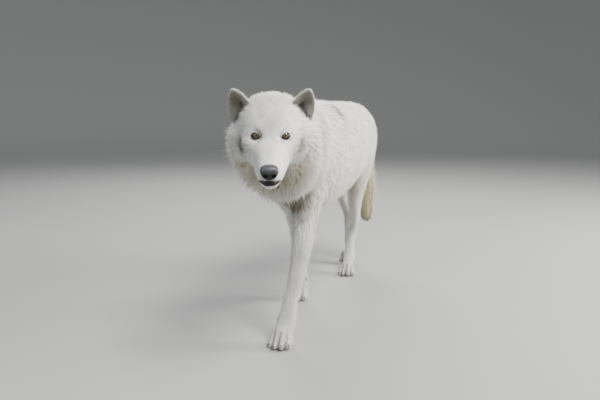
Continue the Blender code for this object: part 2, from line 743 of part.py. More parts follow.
def swollen_copy(thing, room):
    """A copy pushed out along its normals, to cut a seat with room round it."""
    work = bmesh.new()
    work.from_mesh(thing.data)
    bmesh.ops.recalc_face_normals(work, faces=work.faces)
    work.normal_update()
    for vert in work.verts:
        vert.co += vert.normal * room * SEAT_SWELL
    mesh = bpy.data.meshes.new("seat")
    work.to_mesh(mesh)
    work.free()
    return add_object("seat", mesh)


def largest_body(thing):
    """Keep only the largest of an object's separate bodies."""
    meshes = loose_parts(thing)
    material = thing.data.materials[0]
    thing.data = max(meshes, key=volume_of)
    thing.data.materials.clear()
    thing.data.materials.append(material)


def orbit(hand):
    """The opening in the fur of the face through which an eye shows."""
    way = Vector(mirrored(ORBIT_FACING, hand)).normalized()
    turn = head_turn() @ way.to_track_quat("Y", "Z").to_matrix()
    place = on_head((EYE_SIDE * hand, -EYE_DEEP, 0.0)) + turn @ Vector((0.0, 0.02, 0.0))
    points, faces = ball(place, ORBIT_HALF, turn, 8, 12)
    return add_object("orbit", mesh_of("orbit", points, faces))


def seat(holder_name, piece_name):
    """Cut a seat for a piece into the part of the flesh that holds it."""
    holder = bpy.data.objects[holder_name]
    cut(holder, [swollen_copy(bpy.data.objects[piece_name], CLEARANCE)])
    largest_body(holder)


def flat_soles(body):
    """Cut away what lies below the floor, which leaves small flats."""
    box = plate((0.0, 0.45, SOLE_LEVEL - 0.05), (0.0, 0.0, 1.0), (0.5, 1.0), 0.10)
    return cut(body, [box])


def recentre():
    """Move every mesh so that the origin is the bottom centre of the animal."""
    solids = [thing for thing in bpy.data.objects if thing.type == "MESH"]
    corners = np.array([v.co[:] for thing in solids for v in thing.data.vertices])
    middle = (corners.min(0) + corners.max(0)) / 2
    shift = Matrix.Translation((-middle[0], -middle[1], -corners[:, 2].min()))
    for thing in solids:
        thing.data.transform(shift)
        thing.data.shade_smooth()


def main():
    """Build the wolf: the body in parts, then the eyes, ears, nose and claws."""
    clear_scene()
    body = joined_body()
    relaxed(body, RELAX_ROUNDS)
    thinned(body, BODY_TRIANGLES)
    flat_soles(body)
    cut(body, blades())
    name_parts(body)
    for name, hand in (("left", 1), ("right", -1)):
        eye(name + "_eye", hand)
        cut(bpy.data.objects["head"], [orbit(hand)])
        seat("head", name + "_eye")
        ear(name + "_ear", hand)
        seat("head", name + "_ear")
    nose()
    seat("head", "nose")
    for name in PAWS:
        paw_claws(name)
        for number in range(1, len(TOES) + 1):
            seat(name + "_paw", f"{name}_claw_{number}")
    for name, (root, direction) in DEWCLAW_AT.items():
        claw(name + "_dewclaw", root, direction, CLAW_LENGTH, CLAW_RADIUS)
        seat(name + "_paw", name + "_dewclaw")
    recentre()


if __name__ == "__main__":
    main()
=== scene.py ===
"""Arctic wolf walking with lowered head: the looks of a life-size museum model.

Metres, +Z up. The wolf faces -Y and its left side is +X. One skin stands for
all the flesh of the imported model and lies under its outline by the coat's
depth. The coat is closed, tapering tufts that start on the skin, lie along the
body and end at the outline. Eyes, nose, lips, ears and claws are pieces of
their own.
"""

import logging
import math
from dataclasses import dataclass, field
from enum import Enum

import bpy
import numpy as np
from bpy.types import Material, Mesh, Node, NodeSocket, Object
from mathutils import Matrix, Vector
from mathutils.bvhtree import BVHTree


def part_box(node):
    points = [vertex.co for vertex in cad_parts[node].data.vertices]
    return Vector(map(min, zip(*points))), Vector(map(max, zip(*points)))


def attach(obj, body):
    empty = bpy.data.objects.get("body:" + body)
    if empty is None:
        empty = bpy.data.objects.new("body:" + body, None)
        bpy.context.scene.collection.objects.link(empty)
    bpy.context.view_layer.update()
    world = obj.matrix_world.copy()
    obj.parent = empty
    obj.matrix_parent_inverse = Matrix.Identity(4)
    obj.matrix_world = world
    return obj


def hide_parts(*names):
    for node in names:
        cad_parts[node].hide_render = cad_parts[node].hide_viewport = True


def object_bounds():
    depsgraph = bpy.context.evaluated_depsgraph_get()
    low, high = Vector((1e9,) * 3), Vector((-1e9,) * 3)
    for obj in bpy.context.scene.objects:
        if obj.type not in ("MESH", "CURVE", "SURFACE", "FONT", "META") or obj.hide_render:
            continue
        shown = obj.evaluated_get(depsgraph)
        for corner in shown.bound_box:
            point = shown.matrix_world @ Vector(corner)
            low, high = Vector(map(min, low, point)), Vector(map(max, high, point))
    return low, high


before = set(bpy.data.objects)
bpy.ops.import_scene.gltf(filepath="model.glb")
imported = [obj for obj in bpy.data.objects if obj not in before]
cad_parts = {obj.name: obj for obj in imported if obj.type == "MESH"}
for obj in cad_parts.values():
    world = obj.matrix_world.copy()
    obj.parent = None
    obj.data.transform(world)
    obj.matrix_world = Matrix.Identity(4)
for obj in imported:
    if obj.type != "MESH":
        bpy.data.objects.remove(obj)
CAD_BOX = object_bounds()

Array = np.ndarray
Triple = tuple[float, float, float]
LOG = logging.getLogger("wolf")
ROOT = "root"
SIDES = {"left": 1.0, "right": -1.0}  # a side, and the sign of its x
MOST_TRIANGLES = 199_000  # of one piece


# ---- numbers
def unit(vectors: Array) -> Array:
    """Vectors scaled to length one, along the last axis."""
    return vectors / np.maximum(np.linalg.norm(vectors, axis=-1, keepdims=True), 1e-12)


def smoothstep(low: float, high: float, values: Array) -> Array:
    """A soft step from 0 at low to 1 at high: 3t squared minus 2t cubed."""
    t = np.clip((values - low) / (high - low), 0.0, 1.0)
    return t * t * (3.0 - 2.0 * t)


def mixed(first: Array | Triple, second: Array | Triple, share: Array) -> Array:
    """First where share is 0, second where it is 1, row by row."""
    first = np.asarray(first)
    return first + (second - first) * share[..., None]


def all_round(count: int) -> Array:
    """Angles that go once round in equal steps, from 0."""
    return np.arange(count) * 2 * math.pi / count


def flat_part(ways: Array, normals: Array) -> Array:
    """The part of each way that lies in the plane square to its normal, length one."""
    return unit(ways - normals * (ways * normals).sum(-1, keepdims=True))


def ripple(places: Array, length: float, seed: int, waves: int = 7) -> Array:
    """Smooth noise from -1 to 1 in space: a sum of sines in fixed random directions.

    Args:
        places: points, one to a row.
        length: the typical length of a wave.
        seed: which set of directions and phases.
        waves: how many sines are summed.

    Returns:
        One number for each point.
    """
    draw = np.random.default_rng(seed)
    ways = unit(draw.normal(size=(waves, 3))) * draw.uniform(0.6, 1.5, (waves, 1))
    phases = draw.uniform(0.0, 2 * math.pi, waves)
    total = np.sin(places @ ways.T * (2 * math.pi / length) + phases).sum(1)
    return np.clip(total / math.sqrt(waves), -1.0, 1.0)


def catmull(rows: Array, steps: int) -> Array:
    """Catmull-Rom curve through rows of numbers.

    Args:
        rows: the stations, one to a row.
        steps: how many points between two stations.

    Returns:
        The curve's rows, from the first station to the last.
    """
    padded = np.vstack([2 * rows[0] - rows[1], rows, 2 * rows[-1] - rows[-2]])
    before, start, end, after = padded[:-3], padded[1:-2], padded[2:-1], padded[3:]
    t = (np.arange(steps) / steps)[None, :, None]
    p, a, b, n = (part[:, None, :] for part in (before, start, end, after))
    curve = 0.5 * (2 * a + (b - p) * t + (2 * p - 5 * a + 4 * b - n) * t**2
                   + (3 * a - p - 3 * b + n) * t**3)
    return np.vstack([curve.reshape(-1, rows.shape[1]), rows[-1:]])


# ---- meshes
def mesh_of(name: str, points: Array, triangles: Array) -> Mesh:
    """A Blender mesh from arrays of points and of corner numbers, smooth shaded."""
    mesh = bpy.data.meshes.new(name)
    mesh.vertices.add(len(points))
    mesh.vertices.foreach_set("co", np.ascontiguousarray(points, np.float32).ravel())
    mesh.loops.add(triangles.size)
    mesh.loops.foreach_set("vertex_index", np.ascontiguousarray(triangles, np.int32).ravel())
    mesh.polygons.add(len(triangles))
    mesh.polygons.foreach_set("loop_start", np.arange(len(triangles), dtype=np.int32)
                              * triangles.shape[1])
    mesh.update(calc_edges=True)
    return mesh


def arrays_of(mesh: Mesh) -> tuple[Array, Array]:
    """The points and the triangles of a Blender mesh."""
    mesh.calc_loop_triangles()
    points = np.empty(len(mesh.vertices) * 3, np.float32)
    mesh.vertices.foreach_get("co", points)
    triangles = np.empty(len(mesh.loop_triangles) * 3, np.int32)
    mesh.loop_triangles.foreach_get("vertices", triangles)
    return points.reshape(-1, 3).astype(float), triangles.reshape(-1, 3)


def linked(name: str, data: bpy.types.ID) -> Object:
    """A new object in the scene, at the origin."""
    thing = bpy.data.objects.new(name, data)
    bpy.context.scene.collection.objects.link(thing)
    return thing


def put(name: str, mesh: Mesh, material: Material) -> Object:
    """A mesh with its material as an object."""
    mesh.materials.append(material)
    return linked(name, mesh)


def paint(mesh: Mesh, name: str, colours: Array) -> None:
    """Store a linear colour at each point of a mesh, as an attribute."""
    full = np.ones((len(colours), 4), np.float32)
    full[:, :3] = colours
    layer = mesh.attributes.new(name, "FLOAT_COLOR", "POINT")
    layer.data.foreach_set("color", full.ravel())


def unwrap(mesh: Mesh, name: str, places: Array) -> None:
    """Store a UV map from one (u, v) for each point of a mesh."""
    corners = np.empty(len(mesh.loops), np.int32)
    mesh.loops.foreach_get("vertex_index", corners)
    layer = mesh.uv_layers.new(name=name)
    layer.data.foreach_set("uv", np.ascontiguousarray(places[corners], np.float32).ravel())


def soft_normals(mesh: Mesh, normals: Array) -> None:
    """Give each point of a mesh the normal that it is shaded by."""
    layer = mesh.attributes.new("custom_normal", "FLOAT_VECTOR", "POINT")
    layer.data.foreach_set("vector", np.ascontiguousarray(normals, np.float32).ravel())
    mesh.update()


def tube_triangles(rings: int, sides: int) -> Array:
    """Triangles of a closed tube: its rings' points in order, then a pole for either end.

    Args:
        rings: how many rings.
        sides: how many points in a ring.

    Returns:
        Corner numbers, three to a row.
    """
    ring, side = np.meshgrid(np.arange(rings - 1), np.arange(sides), indexing="ij")
    a = (ring * sides + side).ravel()
    b = (ring * sides + (side + 1) % sides).ravel()
    k = np.arange(sides)
    following = (k + 1) % sides
    pole, last = np.full(sides, rings * sides), (rings - 1) * sides
    return np.vstack([np.stack([a, b, b + sides], 1), np.stack([a, b + sides, a + sides], 1),
                      np.stack([pole, following, k], 1),
                      np.stack([pole + 1, last + k, last + following], 1)])


def stacked(surfaces: list[tuple[Array, Array]]) -> tuple[Array, Array]:
    """Several surfaces as one: their points, and their triangles numbered on."""
    points, triangles = zip(*surfaces, strict=True)
    starts = np.cumsum([0, *map(len, points[:-1])])
    return np.vstack(points), np.vstack([t + s for t, s in zip(triangles, starts, strict=True)])


def turned_out(points: Array, triangles: Array) -> Array:
    """The triangles of a closed shape, turned so that they face outwards."""
    a, b, c = (points[triangles[:, k]] for k in range(3))
    volume = (a * np.cross(b, c)).sum()
    return triangles if volume > 0 else triangles[:, ::-1]


# ---- the animal
@dataclass(frozen=True)
class HeadFrame:
    """The head's own axes: side is the wolf's left, forward the muzzle, then up."""

    middle: Array  # the midpoint between the eyes' surfaces
    yaw: float = math.radians(19)  # turned to the wolf's left
    pitch: float = math.radians(27)  # muzzle lowered

    def axes(self) -> Array:
        """Side, forward and up, one to a row."""
        side = np.array([math.cos(self.yaw), math.sin(self.yaw), 0.0])
        forward = np.array([math.sin(self.yaw) * math.cos(self.pitch),
                            -math.cos(self.yaw) * math.cos(self.pitch),
                            -math.sin(self.pitch)])
        return np.stack([side, forward, np.cross(forward, side)])

    def world(self, places: Array) -> Array:
        """Places given as side, forward and height, in the row frame."""
        return self.middle + np.asarray(places, float) @ self.axes()

    def local(self, points: Array) -> Array:
        """Points of the row frame as side, forward and height."""
        return (points - self.middle) @ self.axes().T

    def way(self, direction: Array) -> Array:
        """A direction given as side, forward and height, in the row frame."""
        return unit(np.asarray(direction, float) @ self.axes())


@dataclass(frozen=True)
class Bone:
    """A line through part of the body, with the coat that grows round it.

    A station is x, y, z, radius, depth of the coat and length of its hair.
    """

    name: str
    stations: Array
    hang: float = 0.0  # how far the hair turns down from the bone's way
    steps: int = 6

    def samples(self) -> Array:
        """Points along the bone: place, radius, depth, length, then its way."""
        rows = catmull(self.stations, self.steps)
        ways = unit(np.gradient(rows[:, :3], axis=0))
        return np.hstack([rows, ways])


class Skeleton:
    """Where the parts of the body run, in the row frame."""

    TRUNK = (
        (0.0, -0.05, 0.5, 0.07, 0.026, 0.056), (0.0, 0.0, 0.535, 0.11, 0.028, 0.058),
        (0.0, 0.08, 0.555, 0.15, 0.026, 0.056), (0.0, 0.18, 0.562, 0.16, 0.023, 0.052),
        (0.0, 0.3, 0.565, 0.16, 0.021, 0.048), (0.0, 0.42, 0.57, 0.158, 0.02, 0.046),
        (0.0, 0.55, 0.577, 0.15, 0.02, 0.046), (0.0, 0.66, 0.59, 0.14, 0.02, 0.046),
        (0.0, 0.76, 0.602, 0.128, 0.02, 0.046), (0.0, 0.84, 0.6, 0.09, 0.018, 0.044))
    NECK = (
        (0.078, -0.3, 0.632, 0.08, 0.02, 0.04), (0.066, -0.262, 0.636, 0.1, 0.028, 0.052),
        (0.05, -0.205, 0.628, 0.112, 0.034, 0.062), (0.03, -0.125, 0.612, 0.122, 0.034, 0.064),
        (0.012, -0.04, 0.595, 0.124, 0.032, 0.062), (0.002, 0.06, 0.585, 0.118, 0.028, 0.058))
    # Legs: x, y, z, radius. Their coat: depth and length
    LEGS = {
        "left_fore": (
            (0.066, 0.08, 0.56, 0.07), (0.057, 0.062, 0.47, 0.058), (0.047, 0.04, 0.4, 0.048),
            (0.049, 0.012, 0.33, 0.039), (0.045, -0.008, 0.262, 0.033),
            (0.036, -0.024, 0.2, 0.027), (0.025, -0.033, 0.15, 0.024),
            (0.017, -0.042, 0.095, 0.026), (0.011, -0.05, 0.052, 0.03)),
        "right_fore": (
            (-0.06, 0.1, 0.56, 0.07), (-0.052, 0.14, 0.47, 0.058), (-0.044, 0.183, 0.4, 0.048),
            (-0.048, 0.236, 0.33, 0.038), (-0.057, 0.287, 0.26, 0.032),
            (-0.066, 0.328, 0.198, 0.026), (-0.073, 0.358, 0.15, 0.024),
            (-0.081, 0.388, 0.098, 0.025), (-0.087, 0.406, 0.055, 0.029)),
        "left_hind": (
            (0.066, 0.76, 0.62, 0.08), (0.068, 0.735, 0.52, 0.08), (0.056, 0.715, 0.43, 0.062),
            (0.04, 0.745, 0.34, 0.044), (0.026, 0.8, 0.262, 0.031), (0.014, 0.842, 0.2, 0.026),
            (0.006, 0.838, 0.145, 0.023), (0.004, 0.82, 0.092, 0.024),
            (0.004, 0.803, 0.052, 0.028)),
        "right_hind": (
            (-0.066, 0.77, 0.62, 0.08), (-0.062, 0.762, 0.52, 0.078), (-0.05, 0.772, 0.43, 0.06),
            (-0.038, 0.826, 0.35, 0.041), (-0.034, 0.892, 0.285, 0.031),
            (-0.036, 0.944, 0.235, 0.026), (-0.04, 0.968, 0.18, 0.023),
            (-0.042, 0.992, 0.12, 0.024), (-0.042, 1.006, 0.08, 0.027)),
    }
    LEG_COAT = {
        "fore": (
            (0.022, 0.048), (0.018, 0.042), (0.012, 0.032), (0.0075, 0.022), (0.0055, 0.017),
            (0.0042, 0.014), (0.0036, 0.012), (0.0032, 0.011), (0.003, 0.01)),
        "hind": (
            (0.02, 0.046), (0.018, 0.042), (0.013, 0.034), (0.009, 0.026), (0.006, 0.019),
            (0.0042, 0.014), (0.0036, 0.012), (0.0032, 0.011), (0.003, 0.01)),
    }
    TAIL = (
        (0.002, 0.85, 0.655, 0.042, 0.02, 0.048), (0.01, 0.888, 0.61, 0.044, 0.024, 0.056),
        (0.022, 0.91, 0.54, 0.048, 0.028, 0.064), (0.034, 0.925, 0.45, 0.053, 0.032, 0.07),
        (0.042, 0.935, 0.36, 0.052, 0.032, 0.07), (0.046, 0.942, 0.28, 0.042, 0.027, 0.062),
        (0.048, 0.948, 0.235, 0.028, 0.018, 0.044))
    # In the head's frame: side, forward, height, radius, depth, length
    FACE = (
        (0.0, 0.15, -0.018, 0.018, 0.0012, 0.004), (0.0, 0.115, -0.026, 0.034, 0.0016, 0.006),
        (0.0, 0.07, -0.03, 0.042, 0.002, 0.008), (0.0, 0.02, -0.03, 0.05, 0.0028, 0.01),
        (0.0, -0.03, -0.02, 0.066, 0.005, 0.015), (0.0, -0.08, -0.012, 0.078, 0.009, 0.024),
        (0.0, -0.13, -0.014, 0.078, 0.015, 0.034))
    CHEEK = (
        (0.046, -0.005, -0.03, 0.03, 0.004, 0.013), (0.058, -0.05, -0.05, 0.04, 0.011, 0.028),
        (0.07, -0.095, -0.076, 0.046, 0.019, 0.044), (0.08, -0.14, -0.105, 0.046, 0.024, 0.052))
    THROAT = (
        (0.0, 0.105, -0.055, 0.022, 0.002, 0.007), (0.0, 0.04, -0.074, 0.036, 0.006, 0.018),
        (0.0, -0.03, -0.09, 0.05, 0.016, 0.038), (0.0, -0.1, -0.11, 0.062, 0.026, 0.054))
    PAW = (
        (0.0, -0.006, 0.048, 0.03, 0.003, 0.01), (0.0, 0.014, 0.032, 0.028, 0.0026, 0.0085),
        (0.0, 0.038, 0.018, 0.026, 0.0024, 0.007))
    EYE_MIDDLE = (0.09, -0.37, 0.645)  # where the stations above have the eyes
    EYE_DEEP = 0.0075  # an eye's centre behind the eyes' midpoint
    HANG = {"trunk": 0.75, "neck": 1.0, "cheek": 0.55, "throat": 0.25}

    def __init__(self) -> None:
        """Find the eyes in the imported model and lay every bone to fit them."""
        centres = [np.mean([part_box(side + "_eye")[0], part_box(side + "_eye")[1]], axis=0)
                   for side in SIDES]
        start = HeadFrame(np.mean(centres, axis=0))
        self.eyes = dict(zip(SIDES, centres, strict=True))
        self.head = HeadFrame(start.world([0.0, self.EYE_DEEP, 0.0]))
        self.shift = self.head.middle - np.array(self.EYE_MIDDLE)
        self.paws = {name: Paw(name, self.shift) for name in Paw.PLACES}
        self.bones = self._bones()

    def _bones(self) -> list[Bone]:
        """Every bone in the row frame."""
        found = [Bone("trunk", self._moved(self.TRUNK), self.HANG["trunk"]),
                 Bone("neck", self._moved(self.NECK), self.HANG["neck"]),
                 Bone("tail", self._moved(self.TAIL)),
                 Bone("face", self._on_head(self.FACE)),
                 Bone("throat", self._on_head(self.THROAT), self.HANG["throat"])]
        for name, rows in self.LEGS.items():
            rows = np.hstack([rows, self.LEG_COAT[name[-4:]]])
            found.append(Bone(name, self._moved(rows)))
            found.append(Bone(name + "_paw", self.paws[name].placed(self.PAW)))
        for hand in (1.0, -1.0):
            rows = np.array(self.CHEEK) * [hand, 1, 1, 1, 1, 1]
            found.append(Bone("cheek", self._on_head(rows), self.HANG["cheek"]))
        return found

    def _moved(self, rows: tuple | Array) -> Array:
        """Stations of the body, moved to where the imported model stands."""
        rows = np.array(rows)
        rows[:, :3] += self.shift
        return rows

    def _on_head(self, rows: tuple | Array) -> Array:
        """Stations of the head's frame, in the row frame. They run nose to nape."""
        rows = np.array(rows)
        rows[:, :3] = self.head.world(rows[:, :3])
        return rows


@dataclass(frozen=True)
class Paw:
    """One paw: where its toe roots stand, and the frame of its toes."""

    name: str
    shift: Array
    # Toe roots' place in the stations' frame, pitch and scale
    PLACES = {"left_fore": ((0.007, -0.062, 0.0), 0.0, 1.0),
              "right_fore": ((-0.089, 0.398, 0.0), 0.0, 0.98),
              "left_hind": ((0.004, 0.78, 0.0), 0.0, 0.95),
              "right_hind": ((-0.042, 0.98, 0.0), math.radians(32), 0.95)}
    # Toes, inner to outer: sideways, forward of the toe roots
    TOES = ((-0.029, 0.018), (-0.0108, 0.03), (0.0108, 0.03), (0.029, 0.018))
    TOE_HALF = 0.0285  # half a toe's length
    TIP_SHARE = 0.42  # where along a toe a pitched paw stands
    BELL = 0.004  # half width of a furrow
    STARTS, ENDS = (-0.002, 0.02), 0.08  # where it deepens, forward of the toe roots, and ends
    HIGH = (-0.02, 0.055)  # its lowest and highest

    def frame(self) -> tuple[Array, Array, float]:
        """The paw's axes (side, forward, up, one to a row), its place and its scale."""
        place, pitch, scale = self.PLACES[self.name]
        lift = math.sin(pitch) * (self.TOES[1][1] + self.TOE_HALF * self.TIP_SHARE) * scale
        axes = np.array([[1.0, 0.0, 0.0],
                         [0.0, -math.cos(pitch), -math.sin(pitch)],
                         [0.0, -math.sin(pitch), math.cos(pitch)]])
        return axes, np.array(place) + self.shift + [0.0, 0.0, lift], scale

    def furrows(self, points: Array) -> tuple[Array, Array]:
        """How far each point lies in a furrow between two toes, and how far forward.

        A furrow is a bell across, from the knuckles to past the toes' tips.
        """
        axes, place, scale = self.frame()
        side, forward, up = ((points - place) @ axes.T / scale).T
        found = np.zeros(len(points))
        for left, right in zip(self.TOES, self.TOES[1:], strict=False):
            across = side - (left[0] + right[0]) / 2
            found = np.maximum(found, np.exp(-(across / self.BELL) ** 2))
        found *= smoothstep(*self.STARTS, forward) * (forward < self.ENDS)
        found *= (up > self.HIGH[0]) & (up < self.HIGH[1])
        return found, forward

    def placed(self, rows: tuple) -> Array:
        """Stations given as side, forward, height of the paw, in the row frame."""
        axes, place, scale = self.frame()
        rows = np.array(rows)
        rows[:, :3] = place + rows[:, :3] * scale @ axes
        return rows


# ---- hides
def ring_table(count: int, triangles: Array) -> Array:
    """The neighbours of each point of a mesh, itself included, padded with itself."""
    ends = np.vstack([triangles[:, [0, 1]], triangles[:, [1, 2]], triangles[:, [2, 0]]])
    ends = np.unique(np.vstack([ends, ends[:, ::-1]]), axis=0)
    start = np.searchsorted(ends[:, 0], np.arange(count))
    slot = np.arange(len(ends)) - start[ends[:, 0]] + 1
    table = np.repeat(np.arange(count)[:, None], slot.max() + 1, axis=1)
    table[ends[:, 0], slot] = ends[:, 1]
    return table


def point_normals(points: Array, triangles: Array) -> Array:
    """The outward normal at each point: the mean of its faces', by their areas."""
    corners = points[triangles]
    faces = np.cross(corners[:, 1] - corners[:, 0], corners[:, 2] - corners[:, 0])
    total = np.zeros_like(points)
    for axis in range(3):
        total[:, axis] = np.bincount(triangles.ravel(), np.repeat(faces[:, axis], 3), len(points))
    return unit(total)


@dataclass
class Hide:
    """A skin's surface as arrays, with the coat that each of its points bears."""

    points: Array
    triangles: Array
    depth: Array  # of the coat, from the skin to the outline
    length: Array  # of its hair
    flow: Array | None = None  # the way the hair lies
    region: Array | None = None
    lift: Array | None = None  # how far tufts stand out, as a share of their length
    painted_shadow: Array | None = None  # painted shadow: how much darker their roots are, where the ruff shades the neck
    colours: Array | None = None
    chart: Array | None = None  # an unwrap of the surface, one (u, v) for each point
    bears: Array | None = None  # which points bear tufts
    normals: Array = field(init=False)
    ring: Array = field(init=False)

    # Cuts of a face with one, two or all its edges halved: corners 0-2, halves 3-5
    ONE, TWO = ((0, 3, 2), (3, 1, 2)), ((0, 3, 2), (3, 1, 4), (3, 4, 2))
    ALL = ((0, 3, 5), (3, 1, 4), (5, 4, 2), (3, 4, 5))
    THICK = 0.012  # smoothing, as it sinks, is the coat's depth over this,
    SMOOTHING = (0.15, 0.8)  # kept between these

    def __post_init__(self) -> None:
        """Work out normals and neighbours."""
        self.refresh()

    def refresh(self) -> None:
        """Work out the normals and neighbours again after points have moved."""
        self.ring = ring_table(len(self.points), self.triangles)
        self.normals = point_normals(self.points, self.triangles)

    def spread(self, values: Array) -> Array:
        """The mean of a value over each point's neighbours and itself."""
        return values[self.ring].mean(1)

    def relax(self, rounds: int, strength: Array | float) -> None:
        """Move each point towards its neighbours' mean, a share strength each round."""
        share = np.broadcast_to(np.asarray(strength, float), (len(self.points),))[:, None]
        for _ in range(rounds):
            self.points = self.points + (self.spread(self.points) - self.points) * share
        self.normals = point_normals(self.points, self.triangles)

    def sink(self, depth: Array, steps: int = 10) -> None:
        """Move the surface inwards by a depth at each point, smoothing as it goes."""
        for _ in range(steps):
            ways = unit(self.spread(self.normals))
            self.points = self.points - ways * (depth / steps)[:, None]
            self.relax(1, np.clip(depth / self.THICK, *self.SMOOTHING))

    def refine(self, wanted: Array) -> None:
        """Halve the edges whose two ends are both wanted, and their faces with them."""
        count = len(self.points)
        tri = self.triangles.astype(np.int64)
        ends = np.sort(np.stack([tri, np.roll(tri, -1, axis=1)], axis=2), axis=2)
        keys, where = np.unique((ends[..., 0] * count + ends[..., 1]).ravel(), return_inverse=True)
        a, b = keys // count, keys % count
        marked = wanted[a] & wanted[b]
        middles = np.where(marked, count + np.cumsum(marked) - 1, -1)[where].reshape(-1, 3)
        a, b = a[marked], b[marked]
        for name in ("points", "depth", "length"):
            value = getattr(self, name)
            setattr(self, name, np.concatenate([value, (value[a] + value[b]) / 2]))
        code = (middles >= 0) @ np.array([1, 2, 4])
        faces = [tri[code == 0]]
        for marks, roll, corners in ((1, 0, self.ONE), (3, 0, self.TWO), (2, 1, self.ONE),
                                     (6, 1, self.TWO), (4, 2, self.ONE), (5, 2, self.TWO),
                                     (7, 0, self.ALL)):
            six = np.hstack([np.roll(part[code == marks], -roll, 1) for part in (tri, middles)])
            faces += [six[:, list(corner)] for corner in corners]
        self.triangles = np.vstack(faces)
        self.refresh()

    def walk(self, places: Array, nearest: Array, ways: Array, far: Array,
             steps: int) -> tuple[Array, Array, Array]:
        """Walk over the surface from given places.

        Each step goes a short way, takes the nearest of the last point's neighbours
        as the new nearest point, drops back to its tangent plane and turns with it.

        Args:
            places: where each walk starts.
            nearest: the number of the surface point nearest to it.
            ways: its direction.
            far: how far it goes.
            steps: in how many steps.

        Returns:
            The places, nearest points and directions at the end.
        """
        rows = np.arange(len(places))
        for _ in range(steps):
            places = places + ways * (far / steps)[:, None]
            for _ in range(2):
                near = self.ring[nearest]
                gaps = ((self.points[near] - places[:, None]) ** 2).sum(2)
                nearest = near[rows, gaps.argmin(1)]
            normals = self.normals[nearest]
            off = ((places - self.points[nearest]) * normals).sum(1, keepdims=True)
            places = places - normals * off
            ways = flat_part(ways, normals)
        return places, nearest, ways


class Part(Enum):
    """The parts of the animal that the coat's pieces are cut by."""

    TRUNK = "trunk"
    NECK = "neck"
    TAIL = "tail"
    FACE = "face"
    THROAT = "throat"
    CHEEK = "cheek"
    LEG = "leg"
    PAW = "paw"

    @staticmethod
    def of(bone: str) -> "Part":
        """The part that a bone lies in."""
        if bone.endswith("_paw"):
            return Part.PAW
        return Part.LEG if bone.endswith(("_fore", "_hind")) else Part(bone)


PARTS = list(Part)
CLOSEST, FALL = 0.05, -6.0  # the least distance that counts, and the power of the weight


def fitted_coat(points: Array, bones: list[Bone]) -> tuple[Array, Array, Array, Array]:
    """What coat each point bears, from the bones round it.

    A bone's weight falls with the sixth power of the distance to its nearest
    sample, taken in units of that sample's radius.

    Args:
        points: places on the outline.
        bones: the bones.

    Returns:
        The coat's depth, the hair's length, its way in space and its part.
    """
    totals = np.zeros((len(points), 6))
    weights = []
    for bone in bones:
        rows = bone.samples()
        gaps = np.linalg.norm(points[:, None] - rows[None, :, :3], axis=2) / rows[:, 3]
        nearest = gaps.argmin(1)
        weight = np.maximum(gaps.min(1), CLOSEST) ** FALL
        way = rows[nearest, 6:9] + [0.0, 0.0, -bone.hang]
        totals += weight[:, None] * np.hstack([rows[nearest, 4:6], way, np.ones((len(way), 1))])
        weights.append(weight)
    totals /= totals[:, 5:]
    strongest = np.argmax(weights, axis=0)
    part = np.array([PARTS.index(Part.of(bone.name)) for bone in bones])[strongest]
    return totals[:, 0], totals[:, 1], unit(totals[:, 2:5]), part


# ---- skin
@dataclass(frozen=True)
class EyeOpening:
    """The almond between the lids, in an eye's own axes: outer corner, up, outwards."""

    ball: float = 0.0125  # the eyeball's radius
    inner: float = 0.0096  # middle to the corner beside the nose
    outer: float = 0.0088
    above: float = 0.008
    below: float = 0.0072
    slant: float = 0.1  # rise of the outer corner
    lid: float = 0.0016  # the lids' thickness on the ball
    reach: float = 2.9  # how many openings out the lids end in the face
    facing: Triple = (0.26, 0.88, 0.4)  # left eye, in the head

    def axes(self, head: HeadFrame, hand: float) -> Array:
        """Towards the outer corner, up and outwards, one to a row."""
        out = head.way([self.facing[0] * hand, self.facing[1], self.facing[2]])
        up = flat_part(head.way([0.0, 0.0, 1.0]), out)
        across = np.cross(up, out)
        return np.stack([across * np.sign(across @ head.way([hand, 0.0, 0.0])), up, out])

    def measure(self, across: Array, up: Array) -> Array:
        """0 at the opening's middle, 1 on the lids' edges: a lens with two corners."""
        side = np.where(across > 0, across / self.outer, -across / self.inner)
        rise = up - self.slant * across
        height = np.where(rise > 0, rise / self.above, -rise / self.below)
        return (np.abs(side) ** 1.7 + np.abs(height) ** 1.9) ** 0.55


